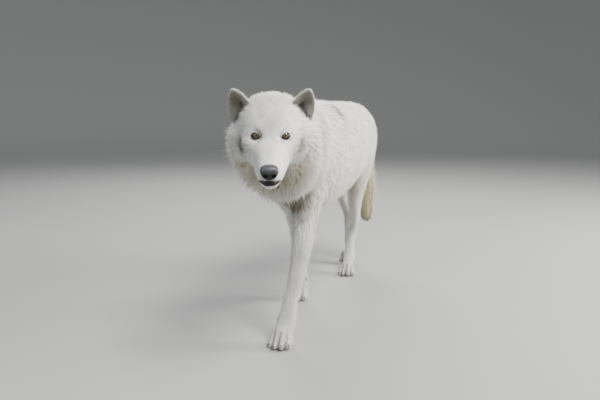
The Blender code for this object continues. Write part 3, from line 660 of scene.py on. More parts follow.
class Skin:
    """The one skin under the coat."""

    VOXEL = 0.0062
    KEYS = 1e6  # cells to the metre: points in one cell are joined
    NOT_FLESH = ("eye", "nose", "claw")
    FIRM, FIRM_ROUNDS = (0.1, 0.75), 14  # the outline's smoothing: least and most
    THIN, THICK = 0.002, 0.012  # the coat's depth where it starts, and over which it grows
    FACE_BEHIND, FACE_REACH = -0.055, 0.21  # the fine mesh's back edge, and how far it goes
    EYE_REACH = 0.03  # the finest mesh, round an eye,
    MOUTH_FROM, MOUTH_BELOW = 0.055, -0.018  # and on the muzzle, forward of and below
    PAW_TOP = 0.08
    TOE_GAP, TOE_REACH = 0.0085, 0.02  # how deep the toes' furrows go, down and back
    RUFF, RUFF_LIFT = (-0.078, 0.03), 0.3  # where the ruff's edge is, how far it lifts
    PAINTED_SHADOW = (-0.135, 0.026, 0.55)  # painted shadow of the ruff on the neck: where, its half, how dark
    PINCH = 0.15  # how far the muzzle's sides are drawn in
    PINCH_FROM, PINCH_TO = (0.03, 0.085), (0.155, 0.14)  # where that begins and ends
    SEAT, SEAT_LOW = (0.0185, 0.015), 0.0055  # the nose's seat: half sizes, and how low
    SEAT_FROM, SEAT_BACK, SEAT_SHARE = 0.136, 0.134, 0.8  # its edge, its floor, how near to it
    HEEL, HEEL_TOP = 0.024, 0.15  # the lifted heel: behind its toe roots, and how high it goes
    HEEL_KEPT, HEEL_SOFT = 0.22, 0.035  # share of it that stays, and how softly it ends above
    JOINT, JOINT_FROM = (0.082, 0.03), -0.045  # smoothed: height and half, how far before it
    JOINT_ROUNDS, JOINT_SHARE = 12, 0.6
    FOLD, FOLD_HEIGHT, FOLD_SEED = 0.17, 0.0042, 77  # folds of the long coat
    FOLD_STRETCH = (1.0, 2.0, 0.75)  # they are short along y and tall
    FOLD_DEPTH = (0.012, 0.028)  # depths of coat between which they grow
    SHADE = 0.76  # of the skin's colour, since it lies in the coat's shadow
    LID_REACH, SOCKET = 0.045, 0.0022  # skin shaped round an eye, and how far inside its ball
    TOE_SOLE = (0.004, 0.012)  # heights between which the toes' furrows grow
    TOE_TOP, TOE_TIP = (0.055, 0.038), (0.024, 0.05)  # where they press down, and back
    HAIR_ROUNDS = 12  # of smoothing the lie of the hair
    LID_HAIR = (1.2, 3.2)  # openings out where it turns round the eye
    opening = EyeOpening()

    def __init__(self, skeleton: Skeleton) -> None:
        """Find each eye's centre and axes, and the nodes that the skin stands for."""
        self.skeleton = skeleton
        self.eyes = {side: (skeleton.eyes[side], self.opening.axes(skeleton.head, hand))
                     for side, hand in SIDES.items()}
        self.flesh = [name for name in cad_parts
                      if not any(word in name for word in self.NOT_FLESH)]

    def hide(self) -> Hide:
        """The skin's surface with the coat it bears."""
        points, triangles = self._joined()
        depth, length, _, _ = fitted_coat(points, self.skeleton.bones)
        hide = Hide(points, triangles, depth, length)
        hide.relax(self.FIRM_ROUNDS, np.clip((depth - self.THIN) / self.THICK, *self.FIRM))
        hide.sink(hide.depth)
        self._refine(hide)
        self._shape_muzzle(hide)
        self._ruffle(hide)
        self._shape_heel(hide)
        self._shape_eyes(hide)
        self._shape_toes(hide)
        hide.refresh()
        self._lay_hair(hide)
        return hide

    def _joined(self) -> tuple[Array, Array]:
        """All the flesh as one closed surface: the nodes merged, then remeshed.

        The ears are left out, since shells this thin are added to the skin later.
        The eyes and the nose fill the seats cut for them.
        """
        surfaces = []
        for name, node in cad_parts.items():
            if name.endswith("_ear") or "claw" in name:
                continue
            points, triangles = arrays_of(node.data)
            keys = np.round(points * self.KEYS).astype(np.int64)
            _, first, where = np.unique(keys, axis=0, return_index=True, return_inverse=True)
            surfaces.append((points[first], where.reshape(-1)[triangles]))
        thing = linked("joined", mesh_of("joined", *stacked(surfaces)))
        remesh = thing.modifiers.new("join", "REMESH")
        remesh.mode = "VOXEL"
        remesh.voxel_size = self.VOXEL
        bpy.context.view_layer.update()
        graph = bpy.context.evaluated_depsgraph_get()
        arrays = arrays_of(thing.evaluated_get(graph).data)
        bpy.data.objects.remove(thing, do_unlink=True)
        return arrays

    def _refine(self, hide: Hide) -> None:
        """Make the mesh finer on the face and the paws, and finest round the eyes."""
        head = self.skeleton.head
        for level in range(2):
            local = head.local(hide.points)
            near = np.linalg.norm(local, axis=1) < self.FACE_REACH
            face = (local[:, 1] > self.FACE_BEHIND) & near
            if level == 1:
                eyes = [np.linalg.norm(hide.points - eye, axis=1) < self.EYE_REACH
                        for eye in self.skeleton.eyes.values()]
                mouth = (local[:, 1] > self.MOUTH_FROM) & (local[:, 2] < self.MOUTH_BELOW)
                face &= eyes[0] | eyes[1] | mouth
            paws = (hide.points[:, 2] < self.PAW_TOP) & (level == 0)
            hide.refine(face | paws)
            hide.relax(2, 0.25)

    def _shape_muzzle(self, hide: Hide) -> None:
        """Draw the sides of the muzzle in, and hollow its front behind the nose."""
        local = self.skeleton.head.local(hide.points)
        along = local[:, 1]
        pinch = self.PINCH * smoothstep(*self.PINCH_FROM, along)
        local[:, 0] *= 1.0 - pinch * smoothstep(*self.PINCH_TO, along)
        low = local[:, 2] + self.SEAT_LOW
        from_nose = np.hypot(local[:, 0] / self.SEAT[0], low / self.SEAT[1])
        hollow = smoothstep(1.0, 0.75, from_nose) * (along > self.SEAT_FROM)
        local[:, 1] = along + (self.SEAT_BACK - along) * self.SEAT_SHARE * hollow
        hide.points = self.skeleton.head.world(local)

    def _ruffle(self, hide: Hide) -> None:
        """Raise soft folds where the coat is long: waves drawn out down the flanks."""
        folds = ripple(hide.points * self.FOLD_STRETCH, self.FOLD, self.FOLD_SEED)
        folds = folds * self.FOLD_HEIGHT * smoothstep(*self.FOLD_DEPTH, hide.depth)
        hide.points += hide.normals * folds[:, None]

    def _shape_heel(self, hide: Hide) -> None:
        """Draw in the back of the foot that leaves the ground, so it runs into the pad."""
        place = self.skeleton.paws["right_hind"].frame()[1]
        _, behind, height = (hide.points - [0.0, place[1] + self.HEEL, 0.0]).T
        low = smoothstep(self.HEEL_TOP, self.HEEL_TOP - self.HEEL_SOFT, height)
        hide.points[:, 1] -= np.maximum(behind, 0.0) * (1.0 - self.HEEL_KEPT) * low
        joint = np.exp(-((height - self.JOINT[0]) / self.JOINT[1]) ** 2)
        joint = (behind > self.JOINT_FROM) * joint
        hide.relax(self.JOINT_ROUNDS, self.JOINT_SHARE * joint)

    def _shape_eyes(self, hide: Hide) -> None:
        """Draw the skin round each eyeball into two lids.

        Between the lids the skin drops behind the ball's surface. Outside, it
        follows the ball at the lids' thickness and then rises softly to the face.
        """
        opening = self.opening
        for centre, axes in self.eyes.values():
            local = (hide.points - centre) @ axes.T
            across, up, out = local.T
            chosen = (np.linalg.norm(local, axis=1) < self.LID_REACH) & (out > -0.004)
            measure = opening.measure(across, up)
            spread = across**2 + up**2
            lid = np.sqrt(np.maximum((opening.ball + opening.lid) ** 2 - spread, 2.5e-5))
            behind = np.sqrt(np.maximum((opening.ball - self.SOCKET) ** 2 - spread, 1e-6)) - 0.001
            outside = smoothstep(1.05, opening.reach, measure)
            new = np.where(measure < 1.0, behind, lid + (out - lid) * outside)
            hide.points[chosen] += (axes[2] * (new - out)[:, None])[chosen]

    def _shape_toes(self, hide: Hide) -> None:
        """Press a furrow between each two toes, deepest at their tips."""
        for paw in self.skeleton.paws.values():
            furrow, forward = paw.furrows(hide.points)
            axes = paw.frame()[0]
            high = smoothstep(*self.TOE_SOLE, hide.points[:, 2])
            down = self.TOE_GAP * furrow * high * smoothstep(*self.TOE_TOP, forward)
            back = self.TOE_REACH * furrow * smoothstep(*self.TOE_TIP, forward)
            hide.points -= axes[2] * down[:, None]
            hide.points -= axes[1] * back[:, None]

    def _lay_hair(self, hide: Hide) -> None:
        """Give each point the way its hair lies, smoothed over the surface."""
        _, _, ways, hide.region = fitted_coat(hide.points, self.skeleton.bones)
        flow = flat_part(ways, hide.normals)
        for _ in range(self.HAIR_ROUNDS):
            flow = flat_part(hide.spread(flow), hide.normals)
        for centre, axes in self.eyes.values():
            local = (hide.points - centre) @ axes.T
            measure = self.opening.measure(local[:, 0], local[:, 1])
            near = np.linalg.norm(local, axis=1) < 0.05
            near = near * (1.0 - smoothstep(*self.LID_HAIR, measure))
            radial = flat_part(local[:, :1] * axes[0] + local[:, 1:2] * axes[1], hide.normals)
            flow = flat_part(mixed(flow, radial, near * 0.85), hide.normals)
            hide.length = hide.length * (1.0 - 0.72 * near)
            hide.depth = hide.depth * (1.0 - 0.6 * near)
        hide.flow = flow
        side, forward, up = self.skeleton.head.local(hide.points).T
        ruff = np.exp(-((forward - self.RUFF[0]) / self.RUFF[1]) ** 2)
        ruff *= smoothstep(0.02, -0.03, up)
        ruff *= smoothstep(0.04, 0.07, np.hypot(side, up + 0.05))
        hide.lift = self.RUFF_LIFT * ruff
        # Painted shadow: a band on the neck just behind the ruff's edge, where the tuft roots are
        # darkened
        painted_shadow = np.exp(-((forward - self.PAINTED_SHADOW[0]) / self.PAINTED_SHADOW[1]) ** 2)
        hide.painted_shadow = painted_shadow * smoothstep(0.05, 0.0, up)
        hide.painted_shadow *= self.PAINTED_SHADOW[2] * smoothstep(0.06, 0.09, np.hypot(side, up + 0.05))
        hide.length = hide.length * (1.0 + 0.25 * ruff)

    def piece(self, hide: Hide, shells: list[Hide], material: Material) -> Object:
        """The skin, with the ears' shells, as an object that stands for all the flesh nodes."""
        parts = [hide, *shells]
        mesh = mesh_of("skin", *stacked([(part.points, part.triangles) for part in parts]))
        paint(mesh, "Coat", np.vstack([part.colours for part in parts]) * self.SHADE)
        thing = put("skin", mesh, material)
        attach(thing, ROOT)
        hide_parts(*self.flesh)
        return thing


# ---- finishes
class Tree:
    """A material's nodes, with short ways to add and join them."""

    def __init__(self, name: str) -> None:
        """Start a material with a Principled shader."""
        self.material = bpy.data.materials.new(name)
        self.material.use_nodes = True
        self.shader = self.material.node_tree.nodes["Principled BSDF"]

    def add(self, kind: str, **settings: object) -> Node:
        """A new node of a kind, with its settings."""
        node = self.material.node_tree.nodes.new(kind)
        for name, value in settings.items():
            setattr(node, name, value)
        return node

    def join(self, start: NodeSocket, end: NodeSocket) -> None:
        """A link between two sockets."""
        self.material.node_tree.links.new(start, end)

    def feed(self, socket: NodeSocket, given: object) -> None:
        """Give a socket a number, a colour or vector of three, or another socket's value."""
        if isinstance(given, (int, float)):
            socket.default_value = given
        elif isinstance(given, tuple):
            socket.default_value = (*given, 1.0)[:len(socket.default_value)]
        else:
            self.join(given, socket)

    def fed(self, kind: str, **inputs: object) -> NodeSocket:
        """The first output of a new node with these inputs."""
        node = self.add(kind)
        for name, given in inputs.items():
            self.feed(node.inputs[name], given)
        return node.outputs[0]

    def value(self, first: object, second: object, operation: str) -> NodeSocket:
        """The result of a sum on two numbers or sockets."""
        node = self.add("ShaderNodeMath", operation=operation)
        self.feed(node.inputs[0], first)
        self.feed(node.inputs[1], second)
        return node.outputs[0]

    def mix(self, share: object, first: object, second: object, blend: str = "MIX") -> object:
        """Two colours mixed. Each is a socket or a red, green, blue triple."""
        node = self.add("ShaderNodeMix", data_type="RGBA", blend_type=blend)
        for number, given in ((0, share), (6, first), (7, second)):
            self.feed(node.inputs[number], given)
        return node.outputs[2]

    def noise(self, place: object, scale: float, detail: float = 2.0,
              roughness: float = 0.5) -> NodeSocket:
        """Noise at a place, from 0 to 1."""
        return self.fed("ShaderNodeTexNoise", Scale=scale, Detail=detail, Roughness=roughness,
                        Vector=place)

    def stretched(self, place: object, scale: Triple) -> object:
        """A place scaled along each axis."""
        return self.fed("ShaderNodeMapping", Scale=scale, Vector=place)

    def object_place(self) -> NodeSocket:
        """The place on the object, in metres."""
        return self.add("ShaderNodeTexCoord").outputs["Object"]

    def span(self, value: object, low: float, high: float, to_low: float = 0.0,
             to_high: float = 1.0) -> NodeSocket:
        """A value taken from one range to another, and kept inside it."""
        node = self.add("ShaderNodeMapRange")
        for socket, given in zip(node.inputs[1:5], (low, high, to_low, to_high), strict=True):
            socket.default_value = given
        self.join(value, node.inputs[0])
        return node.outputs[0]

    def grey(self, value: object) -> NodeSocket:
        """A number as a grey colour."""
        node = self.add("ShaderNodeCombineColor")
        for socket in node.inputs:
            self.join(value, socket)
        return node.outputs[0]

    def attribute(self, name: str, output: str) -> NodeSocket:
        """A mesh attribute's colour or number."""
        return self.add("ShaderNodeAttribute", attribute_name=name).outputs[output]

    def dye(self, colour: NodeSocket) -> None:
        """The shader's colour."""
        self.join(colour, self.shader.inputs["Base Color"])

    def bump(self, height: object, strength: float, distance: float) -> None:
        """Relief on the shader from a height."""
        relief = self.fed("ShaderNodeBump", Strength=strength, Distance=distance, Height=height)
        self.join(relief, self.shader.inputs["Normal"])

    def set(self, **values: object) -> None:
        """Fixed values on the shader's own sockets. An underscore stands for a space."""
        for name, value in values.items():
            self.shader.inputs[name.replace("_", " ")].default_value = value


@dataclass(frozen=True)
class CoatFinish:
    """Guard hair: painted by the markings, with hairs across each tuft."""

    name: str = "coat"
    roughness: float = 0.62
    sheen: float = 0.18
    hairs: float = 5.0  # streaks across a tuft
    contrast: float = 0.13

    def material(self) -> Material:
        """Colour from the Coat attribute, streaked along the Strand map."""
        tree = Tree(self.name)
        coat = tree.attribute("Coat", "Color")
        strand = tree.add("ShaderNodeUVMap", uv_map="Strand").outputs[0]
        hairs = tree.noise(tree.stretched(strand, (self.hairs, 0.35, 1.0)), 1.0, 3.0, 0.6)
        streak = tree.span(hairs, 0.32, 0.68, 1.0 - self.contrast, 1.0 + self.contrast * 0.4)
        patch = tree.span(tree.noise(tree.object_place(), 26.0, 3.0), 0.3, 0.7, 0.965, 1.03)
        shade = tree.grey(tree.value(streak, patch, "MULTIPLY"))
        tree.dye(tree.mix(1.0, coat, shade, "MULTIPLY"))
        tree.bump(hairs, 0.22, 0.0006)
        tree.set(Roughness=self.roughness, Sheen_Weight=self.sheen, Sheen_Roughness=0.5)
        return tree.material


@dataclass(frozen=True)
class SkinFinish:
    """What shows between the tufts: short underfur, the markings' colour, darker."""

    name: str = "skin"
    roughness: float = 0.8

    def material(self) -> Material:
        """Colour from the Coat attribute, with fine hair relief."""
        tree = Tree(self.name)
        coat = tree.attribute("Coat", "Color")
        fine = tree.noise(tree.object_place(), 420.0, 4.0, 0.65)
        shade = tree.grey(tree.span(fine, 0.3, 0.7, 0.8, 1.02))
        tree.dye(tree.mix(1.0, coat, shade, "MULTIPLY"))
        tree.bump(fine, 0.35, 0.0008)
        tree.set(Roughness=self.roughness, Sheen_Weight=0.15)
        return tree.material


# ---- markings
class Ground(Enum):
    """Which axes a marking's place is given in."""

    HEAD = "head"
    BODY = "body"


HEAD, BODY = Ground


@dataclass(frozen=True)
class Spot:
    """A soft-edged marking: an ellipsoid cloud of another colour."""

    ground: Ground
    place: Triple
    half: Triple
    colour: Triple
    strength: float
    both_sides: bool = False


class Markings:
    """The colours of the coat, the same on skin and tufts, with painted shade in some spots and in
    the toes' furrows.
    """

    WHITE = (0.8, 0.79, 0.76)
    CREAM = (0.79, 0.76, 0.67)
    SAND = (0.42, 0.32, 0.125)
    TAWNY = (0.5, 0.39, 0.155)
    OLIVE = (0.042, 0.034, 0.01)
    BROWN = (0.12, 0.08, 0.027)
    GREY = (0.125, 0.125, 0.115)
    DARK = (0.018, 0.016, 0.014)
    BLACK = (0.012, 0.011, 0.011)
    FURROW_SHADE = 0.36  # painted shade: how dark the furrows between the toes are
    RIM = (1.22, 1.48)  # openings out where the black round the eyes fades
    LIP = (0.0004, 0.0022)  # and metres past the lips where theirs does
    FAINTEST = 0.1  # a spot whose cloud nowhere reaches this stays faint
    SPOTS = (
        # Olive on the cheeks, in the groove between muzzle and ruff: partly the coat's own tone,
        # partly painted shade
        Spot(HEAD, (0.076, -0.012, -0.031), (0.019, 0.036, 0.024), OLIVE, 0.95, True),
        Spot(HEAD, (0.074, -0.026, -0.068), (0.014, 0.03, 0.022), OLIVE, 0.22, True),
        Spot(HEAD, (0.052, -0.01, -0.082), (0.014, 0.026, 0.026), OLIVE, 0.6, True),
        # Grey on the forehead, brows, bridge and crown: partly the coat's own grey, partly painted
        # shade in the stop and between the brows
        Spot(HEAD, (0.0, -0.006, 0.034), (0.02, 0.03, 0.018), GREY, 0.3),
        Spot(HEAD, (0.02, -0.03, 0.044), (0.008, 0.022, 0.014), GREY, 0.22, True),
        Spot(HEAD, (0.0, 0.085, 0.004), (0.006, 0.022, 0.012), GREY, 0.18),
        Spot(HEAD, (0.04, -0.01, 0.026), (0.018, 0.014, 0.008), GREY, 0.15, True),
        Spot(HEAD, (0.0, -0.105, 0.06), (0.06, 0.05, 0.03), GREY, 0.1),
        Spot(HEAD, (0.0262, 0.0205, -0.006), (0.0035, 0.007, 0.0075), DARK, 0.75, True),
        Spot(HEAD, (0.0, -0.05, -0.15), (0.08, 0.06, 0.044), SAND, 0.72),
        Spot(HEAD, (0.074, -0.055, -0.115), (0.03, 0.04, 0.036), SAND, 0.6, True),
        # Painted shadow of the ruff on the left of the neck, behind its edge
        Spot(HEAD, (0.136, -0.18, -0.1), (0.024, 0.05, 0.075), GREY, 0.78),
        Spot(HEAD, (0.14, -0.31, -0.14), (0.024, 0.06, 0.05), GREY, 0.45),
        Spot(HEAD, (0.13, -0.21, -0.25), (0.026, 0.06, 0.06), GREY, 0.55),
        Spot(BODY, (-0.012, -0.258, 0.422), (0.058, 0.06, 0.034), BROWN, 1.0),
        Spot(HEAD, (0.0, 0.134, -0.024), (0.0125, 0.016, 0.0042), BLACK, 1.0),
        Spot(BODY, (0.02, -0.3, 0.47), (0.085, 0.075, 0.055), SAND, 0.6),
        Spot(BODY, (0.088, -0.018, 0.699), (0.026, 0.025, 0.04), DARK, 1.0),
        Spot(BODY, (0.06, 0.01, 0.718), (0.032, 0.022, 0.018), DARK, 1.0),
        Spot(BODY, (0.04, 0.12, 0.73), (0.03, 0.08, 0.016), GREY, 0.12),
        # Painted shade of a soft vertical fold on the left shoulder
        Spot(BODY, (0.12, -0.06, 0.64), (0.02, 0.022, 0.07), GREY, 0.12),
        Spot(BODY, (0.03, 0.66, 0.33), (0.09, 0.07, 0.19), TAWNY, 0.9),
        Spot(BODY, (0.04, 0.69, 0.22), (0.06, 0.06, 0.05), BROWN, 0.15),
        Spot(BODY, (0.0, 0.5, 0.42), (0.05, 0.1, 0.08), SAND, 0.35),
        Spot(BODY, (0.0, 0.4, 0.4), (0.1, 0.3, 0.05), SAND, 0.35),
    )

    def __init__(self, skin: Skin, lips: tuple[Array, Array]) -> None:
        """Keep the skin and the lips."""
        self.skin = skin
        self.lips = lips

    def colours(self, points: Array) -> Array:
        """The coat's colour at each point.

        White on the head and legs turns to cream on the trunk, then each spot
        mixes in by exp of minus the squared distance, taken in its own half
        sizes and scaled so that its strongest point has the spot's strength.
        """
        local = self.skin.skeleton.head.local(points)
        cream = smoothstep(-0.35, 0.1, points[:, 1]) * smoothstep(0.25, 0.45, points[:, 2])
        cream = np.clip(cream + 0.25 * ripple(points, 0.22, 5), 0.0, 1.0)
        found = mixed(self.WHITE, self.CREAM, cream)
        for spot in self.SPOTS:
            ground = local if spot.ground is HEAD else points
            for hand in (1.0, -1.0) if spot.both_sides else (1.0,):
                gap = (ground - np.array(spot.place) * [hand, 1.0, 1.0]) / spot.half
                cloud = np.exp(-(gap**2).sum(1))
                cloud *= spot.strength / max(cloud.max(), self.FAINTEST)
                cloud *= 1.0 + 0.35 * ripple(points, 0.03, 9)
                found = mixed(found, spot.colour, np.clip(cloud, 0.0, 1.0))
        # Painted shade in the furrows between the toes
        for paw in self.skin.skeleton.paws.values():
            found = mixed(found, self.DARK, paw.furrows(points)[0] * self.FURROW_SHADE)
        black = 1.0 - smoothstep(*self.LIP, off_line(points, *self.lips))
        found = mixed(found, self.BLACK, black)
        for centre, axes in self.skin.eyes.values():
            across, up, out = ((points - centre) @ axes.T).T
            near = (np.abs(out) < 0.03) & (np.hypot(across, up) < 0.04)
            rim = 1.0 - smoothstep(*self.RIM, self.skin.opening.measure(across, up))
            found = mixed(found, self.BLACK, rim * near)
        return np.clip(found, 0.0, 0.95)


def off_line(points: Array, line: Array, half: Array) -> Array:
    """How far points lie outside a band: its line and its half widths."""
    gaps = np.full(len(points), 1.0)
    low, high = line.min(0) - 0.02, line.max(0) + 0.02
    near = np.nonzero(((points > low) & (points < high)).all(1))[0]
    gaps[near] = (np.linalg.norm(points[near, None] - line[None], axis=2) - half).min(1)
    return gaps


# ---- coat
@dataclass(frozen=True)
class Cut:
    """How one piece of the coat is cut and laid."""

    name: str
    slot: str = "white_coat"
    count: int = 9_000  # of tufts
    spans: int = 2  # straight lengths in a tuft
    fray: float = 0.16  # how far single tufts turn aside, radians
    sway: float = 0.2  # how far neighbours turn aside together
    lock: float = 0.0  # size of the locks that tips gather into
    pull: float = 0.0  # how far they gather
    width: float = 0.03  # of a tuft, as a share of its length
    least: float = 0.0008  # added to that width
    uneven: float = 0.22  # spread of the lengths
    shade: float = 0.84  # painted shade: the roots' brightness, the tips' is 1
    stand: float = 0.16  # how far the boldest tufts stand out, share of their length
    gap_shade: float = 0.0  # painted shade: how dark it is between locks
    clump: float = 0.0  # how far locks differ in brightness


@dataclass
class Tufts:
    """Closed tapering tufts as arrays, ready to become one mesh."""

    points: Array
    triangles: Array
    normals: Array
    colours: Array
    strand: Array
    patch: Array


class Coat:
    """Grows tufts on a hide."""

    STEPS = 4  # of the walk over the skin along one span
    ROOT_SUNK = 0.0012
    FLOOR = 0.001  # the lowest a tuft's middle line runs
    PROUD = 0.008  # the farthest it runs past the CAD's box
    PATCH = 0.003  # a tuft's size on the OFBake map
    SOFT = 0.62  # how far the shading follows the skin
    OWN = 0.12  # how far a tuft keeps its root's colour
    COVER = 0.55  # of its length times its width that a tuft covers
    DEPTHS = (0.62, 1.04)  # where tufts end, in depths of the coat
    WIDTHS = (0.75, 1.2)  # least and most of their own width
    SWAY = 0.055  # length of the waves that neighbours sway in
    TONE = 0.045  # spread of the tufts' brightness
    SWELL = ((0.0, 0.4, 0.75, 1.0), (0.62, 1.0, 0.78, 0.0))  # width along a tuft
    SECTION = ((-1.0, 0.0), (0.0, 0.55), (1.0, 0.0))  # across and up, in half widths
    HAIR_MAP = 0.02  # length of a tuft to one unit of the Strand map

    def __init__(self, hide: Hide) -> None:
        """Keep the hide."""
        self.hide = hide

    def roots(self, chosen: Array, cut: Cut, draw: np.random.Generator) -> tuple[Array, ...]:
        """Where the tufts of a piece start.

        Roots are dealt out by a triangle's area over that of one of its tufts,
        and each lies at random in its triangle.

        Args:
            chosen: which triangles bear this piece.
            cut: how it is cut.
            draw: random numbers.

        Returns:
            Places, nearest points, lengths and depths.
        """
        hide = self.hide
        tri = hide.triangles[chosen]
        corners = hide.points[tri]
        area = np.linalg.norm(np.cross(corners[:, 1] - corners[:, 0],
                                       corners[:, 2] - corners[:, 0]), axis=1) / 2
        length = hide.length[tri].mean(1)
        tuft = self.COVER * length * (cut.least + cut.width * length)
        wanted = np.cumsum(area / tuft)
        count = cut.count
        dealt = (np.arange(count) + draw.random(count)) / count * wanted[-1]
        picks = np.searchsorted(wanted, dealt)
        picks = np.minimum(picks, len(tri) - 1)
        a, b = draw.random((2, count))
        a = np.sqrt(a)
        share = np.stack([1 - a, a * (1 - b), a * b], 1)
        tri = tri[picks]
        places = (hide.points[tri] * share[..., None]).sum(1)
        return (places, tri[np.arange(count), share.argmax(1)],
                (hide.length[tri] * share).sum(1), (hide.depth[tri] * share).sum(1))

    def grow(self, chosen: Array, cut: Cut, chart: Array, seed: int) -> Tufts:
        """The tufts of one piece.

        A tuft's middle line walks over the skin along the lie of the hair and
        rises from it to the coat's depth, steeply at first. Its section is a low
        triangle whose width swells and then runs out to a point.

        Args:
            chosen: which triangles bear it.
            cut: how it is cut.
            chart: the skin's own unwrap, one (u, v) for each point of the hide.
            seed: for the random draws.

        Returns:
            The tufts.
        """
        draw = np.random.default_rng(seed)
        hide, spans = self.hide, cut.spans
        places, nearest, mean, depth = self.roots(chosen, cut, draw)
        count = len(places)
        length = mean * (1.0 + cut.uneven * draw.uniform(-1.0, 0.7, count))
        depth = depth * draw.uniform(*self.DEPTHS, count)
        width = (cut.least + cut.width * mean) * draw.uniform(*self.WIDTHS, count) / 2
        turn = cut.fray * draw.normal(size=count)
        turn = turn + cut.sway * ripple(places, self.SWAY, seed + 40)
        normals = hide.normals[nearest]
        flow = hide.flow[nearest]
        ways = flow * np.cos(turn)[:, None] + np.cross(normals, flow) * np.sin(turn)[:, None]
        stations = np.linspace(0.0, 1.0, spans + 1)
        stand = (hide.lift[nearest] + cut.stand * draw.random(count) ** 3) * length
        level = np.sqrt(np.maximum(length**2 - (depth + stand) ** 2, (0.5 * length) ** 2))
        lines, uprights, sides, marks = [], [], [], []
        here, near, way = places, nearest, ways
        for number, station in enumerate(stations):
            if number:
                here, near, way = hide.walk(here, near, way, level / spans, self.STEPS)
            upright = hide.normals[near]
            rise = depth * (1.0 - (1.0 - station) ** 2) + stand * station**1.5
            rise -= self.ROOT_SUNK * (number == 0)
            lines.append(self._held_in(here + upright * rise[:, None]))
            uprights.append(upright)
            sides.append(np.cross(way, upright))
            marks.append(hide.colours[near])
        tone = 1.0 + self.TONE * draw.normal(size=count)
        if cut.lock:
            tone *= self._gather(lines, stations, cut, seed)
        # Painted shade: roots darker than tips, and darker still in the ruff's painted shadow
        shade = (cut.shade * (1.0 - hide.painted_shadow[nearest]) * tone)[:, None]
        colours = [(marks[0] * self.OWN + mark * (1.0 - self.OWN))
                   * (shade + (tone[:, None] - shade) * station)
                   for mark, station in zip(marks, stations, strict=True)]
        return self._mesh(lines, uprights, sides, width, stations, colours, chart[nearest], length,
                          draw)

    def _held_in(self, line: Array) -> Array:
        """Points kept above the floor and near the CAD's box.

        A point a distance d past the box is drawn back to PROUD times
        1 - e^(-d / PROUD) past it.
        """
        low, high = (np.array(corner) for corner in CAD_BOX)
        past = line - np.clip(line, low, high)
        kept = np.sign(past) * -np.expm1(-np.abs(past) / self.PROUD) * self.PROUD
        line = line - past + kept
        line[:, 2] = np.maximum(line[:, 2], self.FLOOR)
        return line

    def _gather(self, lines: list[Array], stations: Array, cut: Cut, seed: int) -> Array:
        """Draw the tips that share a lock towards its middle, and give each its brightness:
        painted shade towards the lock's edge, and a random tone for each lock.
        """
        tips = lines[-1]
        swirl = np.stack([ripple(tips, cut.lock * 3.2, seed + k) for k in range(3)], 1)
        cells = np.floor((tips + swirl * cut.lock * 0.45) / cut.lock).astype(np.int64)
        _, lock = np.unique(cells, axis=0, return_inverse=True)
        lock = lock.reshape(-1)
        held = np.bincount(lock)[:, None]

        def middles(points: Array) -> Array:
            """The middle of each point's lock."""
            return (np.stack([np.bincount(lock, points[:, k]) for k in range(3)], 1) / held)[lock]

        gap = np.linalg.norm(tips - middles(tips), axis=1) / (0.75 * cut.lock)
        tone = 1.0 - cut.gap_shade * np.clip(gap, 0.0, 1.0) ** 2
        tone *= 1.0 + cut.clump * np.random.default_rng(seed + 90).normal(size=len(held))[lock]
        for number, station in enumerate(stations[1:], 1):
            pull = np.full(len(lock), cut.pull * station**1.3)
            lines[number] = mixed(lines[number], middles(lines[number]), pull)
        return tone

    def _mesh(self, lines: list[Array], uprights: list[Array], sides: list[Array], width: Array,
              stations: Array, colours: list[Array], charts: Array, length: Array,
              draw: np.random.Generator) -> Tufts:
        """Turn middle lines into closed tufts: left edge, ridge and right edge, then the tip."""
        count, spans = len(width), len(stations) - 1
        points, normals, paints, strand, patch = [], [], [], [], []
        shift = draw.uniform(0.0, 60.0, (count, 1))
        for number, station in enumerate(stations[:-1]):
            swell = np.interp(station, *self.SWELL)
            half = (width * swell)[:, None]
            side, upright = sides[number], uprights[number]
            along = unit(lines[number + 1] - lines[max(number - 1, 0)])
            raised = flat_part(upright, along)
            for column, (across, lift) in enumerate(self.SECTION):
                points.append(lines[number] + side * half * across + raised * half * lift)
                own = unit(raised + side * across * 0.75)
                normals.append(unit(own * (1.0 - self.SOFT) + upright * self.SOFT))
                paints.append(colours[number])
                strand.append(np.hstack([shift + column * 0.5, shift
                                         + (length * station / self.HAIR_MAP)[:, None]]))
                place = [(column - 1) * self.PATCH / 2, (station - 0.5) * self.PATCH]
                patch.append(charts + place)
        points.append(lines[-1])
        normals.append(unit(uprights[-1]))
        paints.append(colours[-1])
        strand.append(np.hstack([shift + 0.5, shift + (length / self.HAIR_MAP)[:, None]]))
        patch.append(charts + [0.0, self.PATCH / 2])
        base = (np.arange(count) * (3 * spans + 1))[:, None, None]
        faces = [(0, 2, 1)]
        for number in range(spans - 1):
            a = 3 * number
            for left, right in ((a, a + 1), (a + 1, a + 2), (a + 2, a)):
                faces += [(left, right, right + 3), (left, right + 3, left + 3)]
        a, tip = 3 * (spans - 1), 3 * spans
        faces += [(a, a + 1, tip), (a + 1, a + 2, tip), (a + 2, a, tip)]
        triangles = (base + np.array(faces)[None]).reshape(-1, 3)

        def rows(parts: list[Array]) -> Array:
            """One row for each point, tuft by tuft."""
            return np.stack(parts, axis=1).reshape(-1, parts[0].shape[1])

        return Tufts(rows(points), triangles, *map(rows, (normals, paints, strand, patch)))

    def piece(self, tufts: Tufts, cut: Cut, material: Material) -> Object:
        """One piece of the coat as an object."""
        name = "coat_" + cut.name
        mesh = mesh_of(name, tufts.points, tufts.triangles)
        paint(mesh, "Coat", tufts.colours)
        unwrap(mesh, "OFBake", tufts.patch)
        unwrap(mesh, "Strand", tufts.strand)
        soft_normals(mesh, tufts.normals)
        thing = put(name, mesh, material)
        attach(thing, ROOT)
        return thing


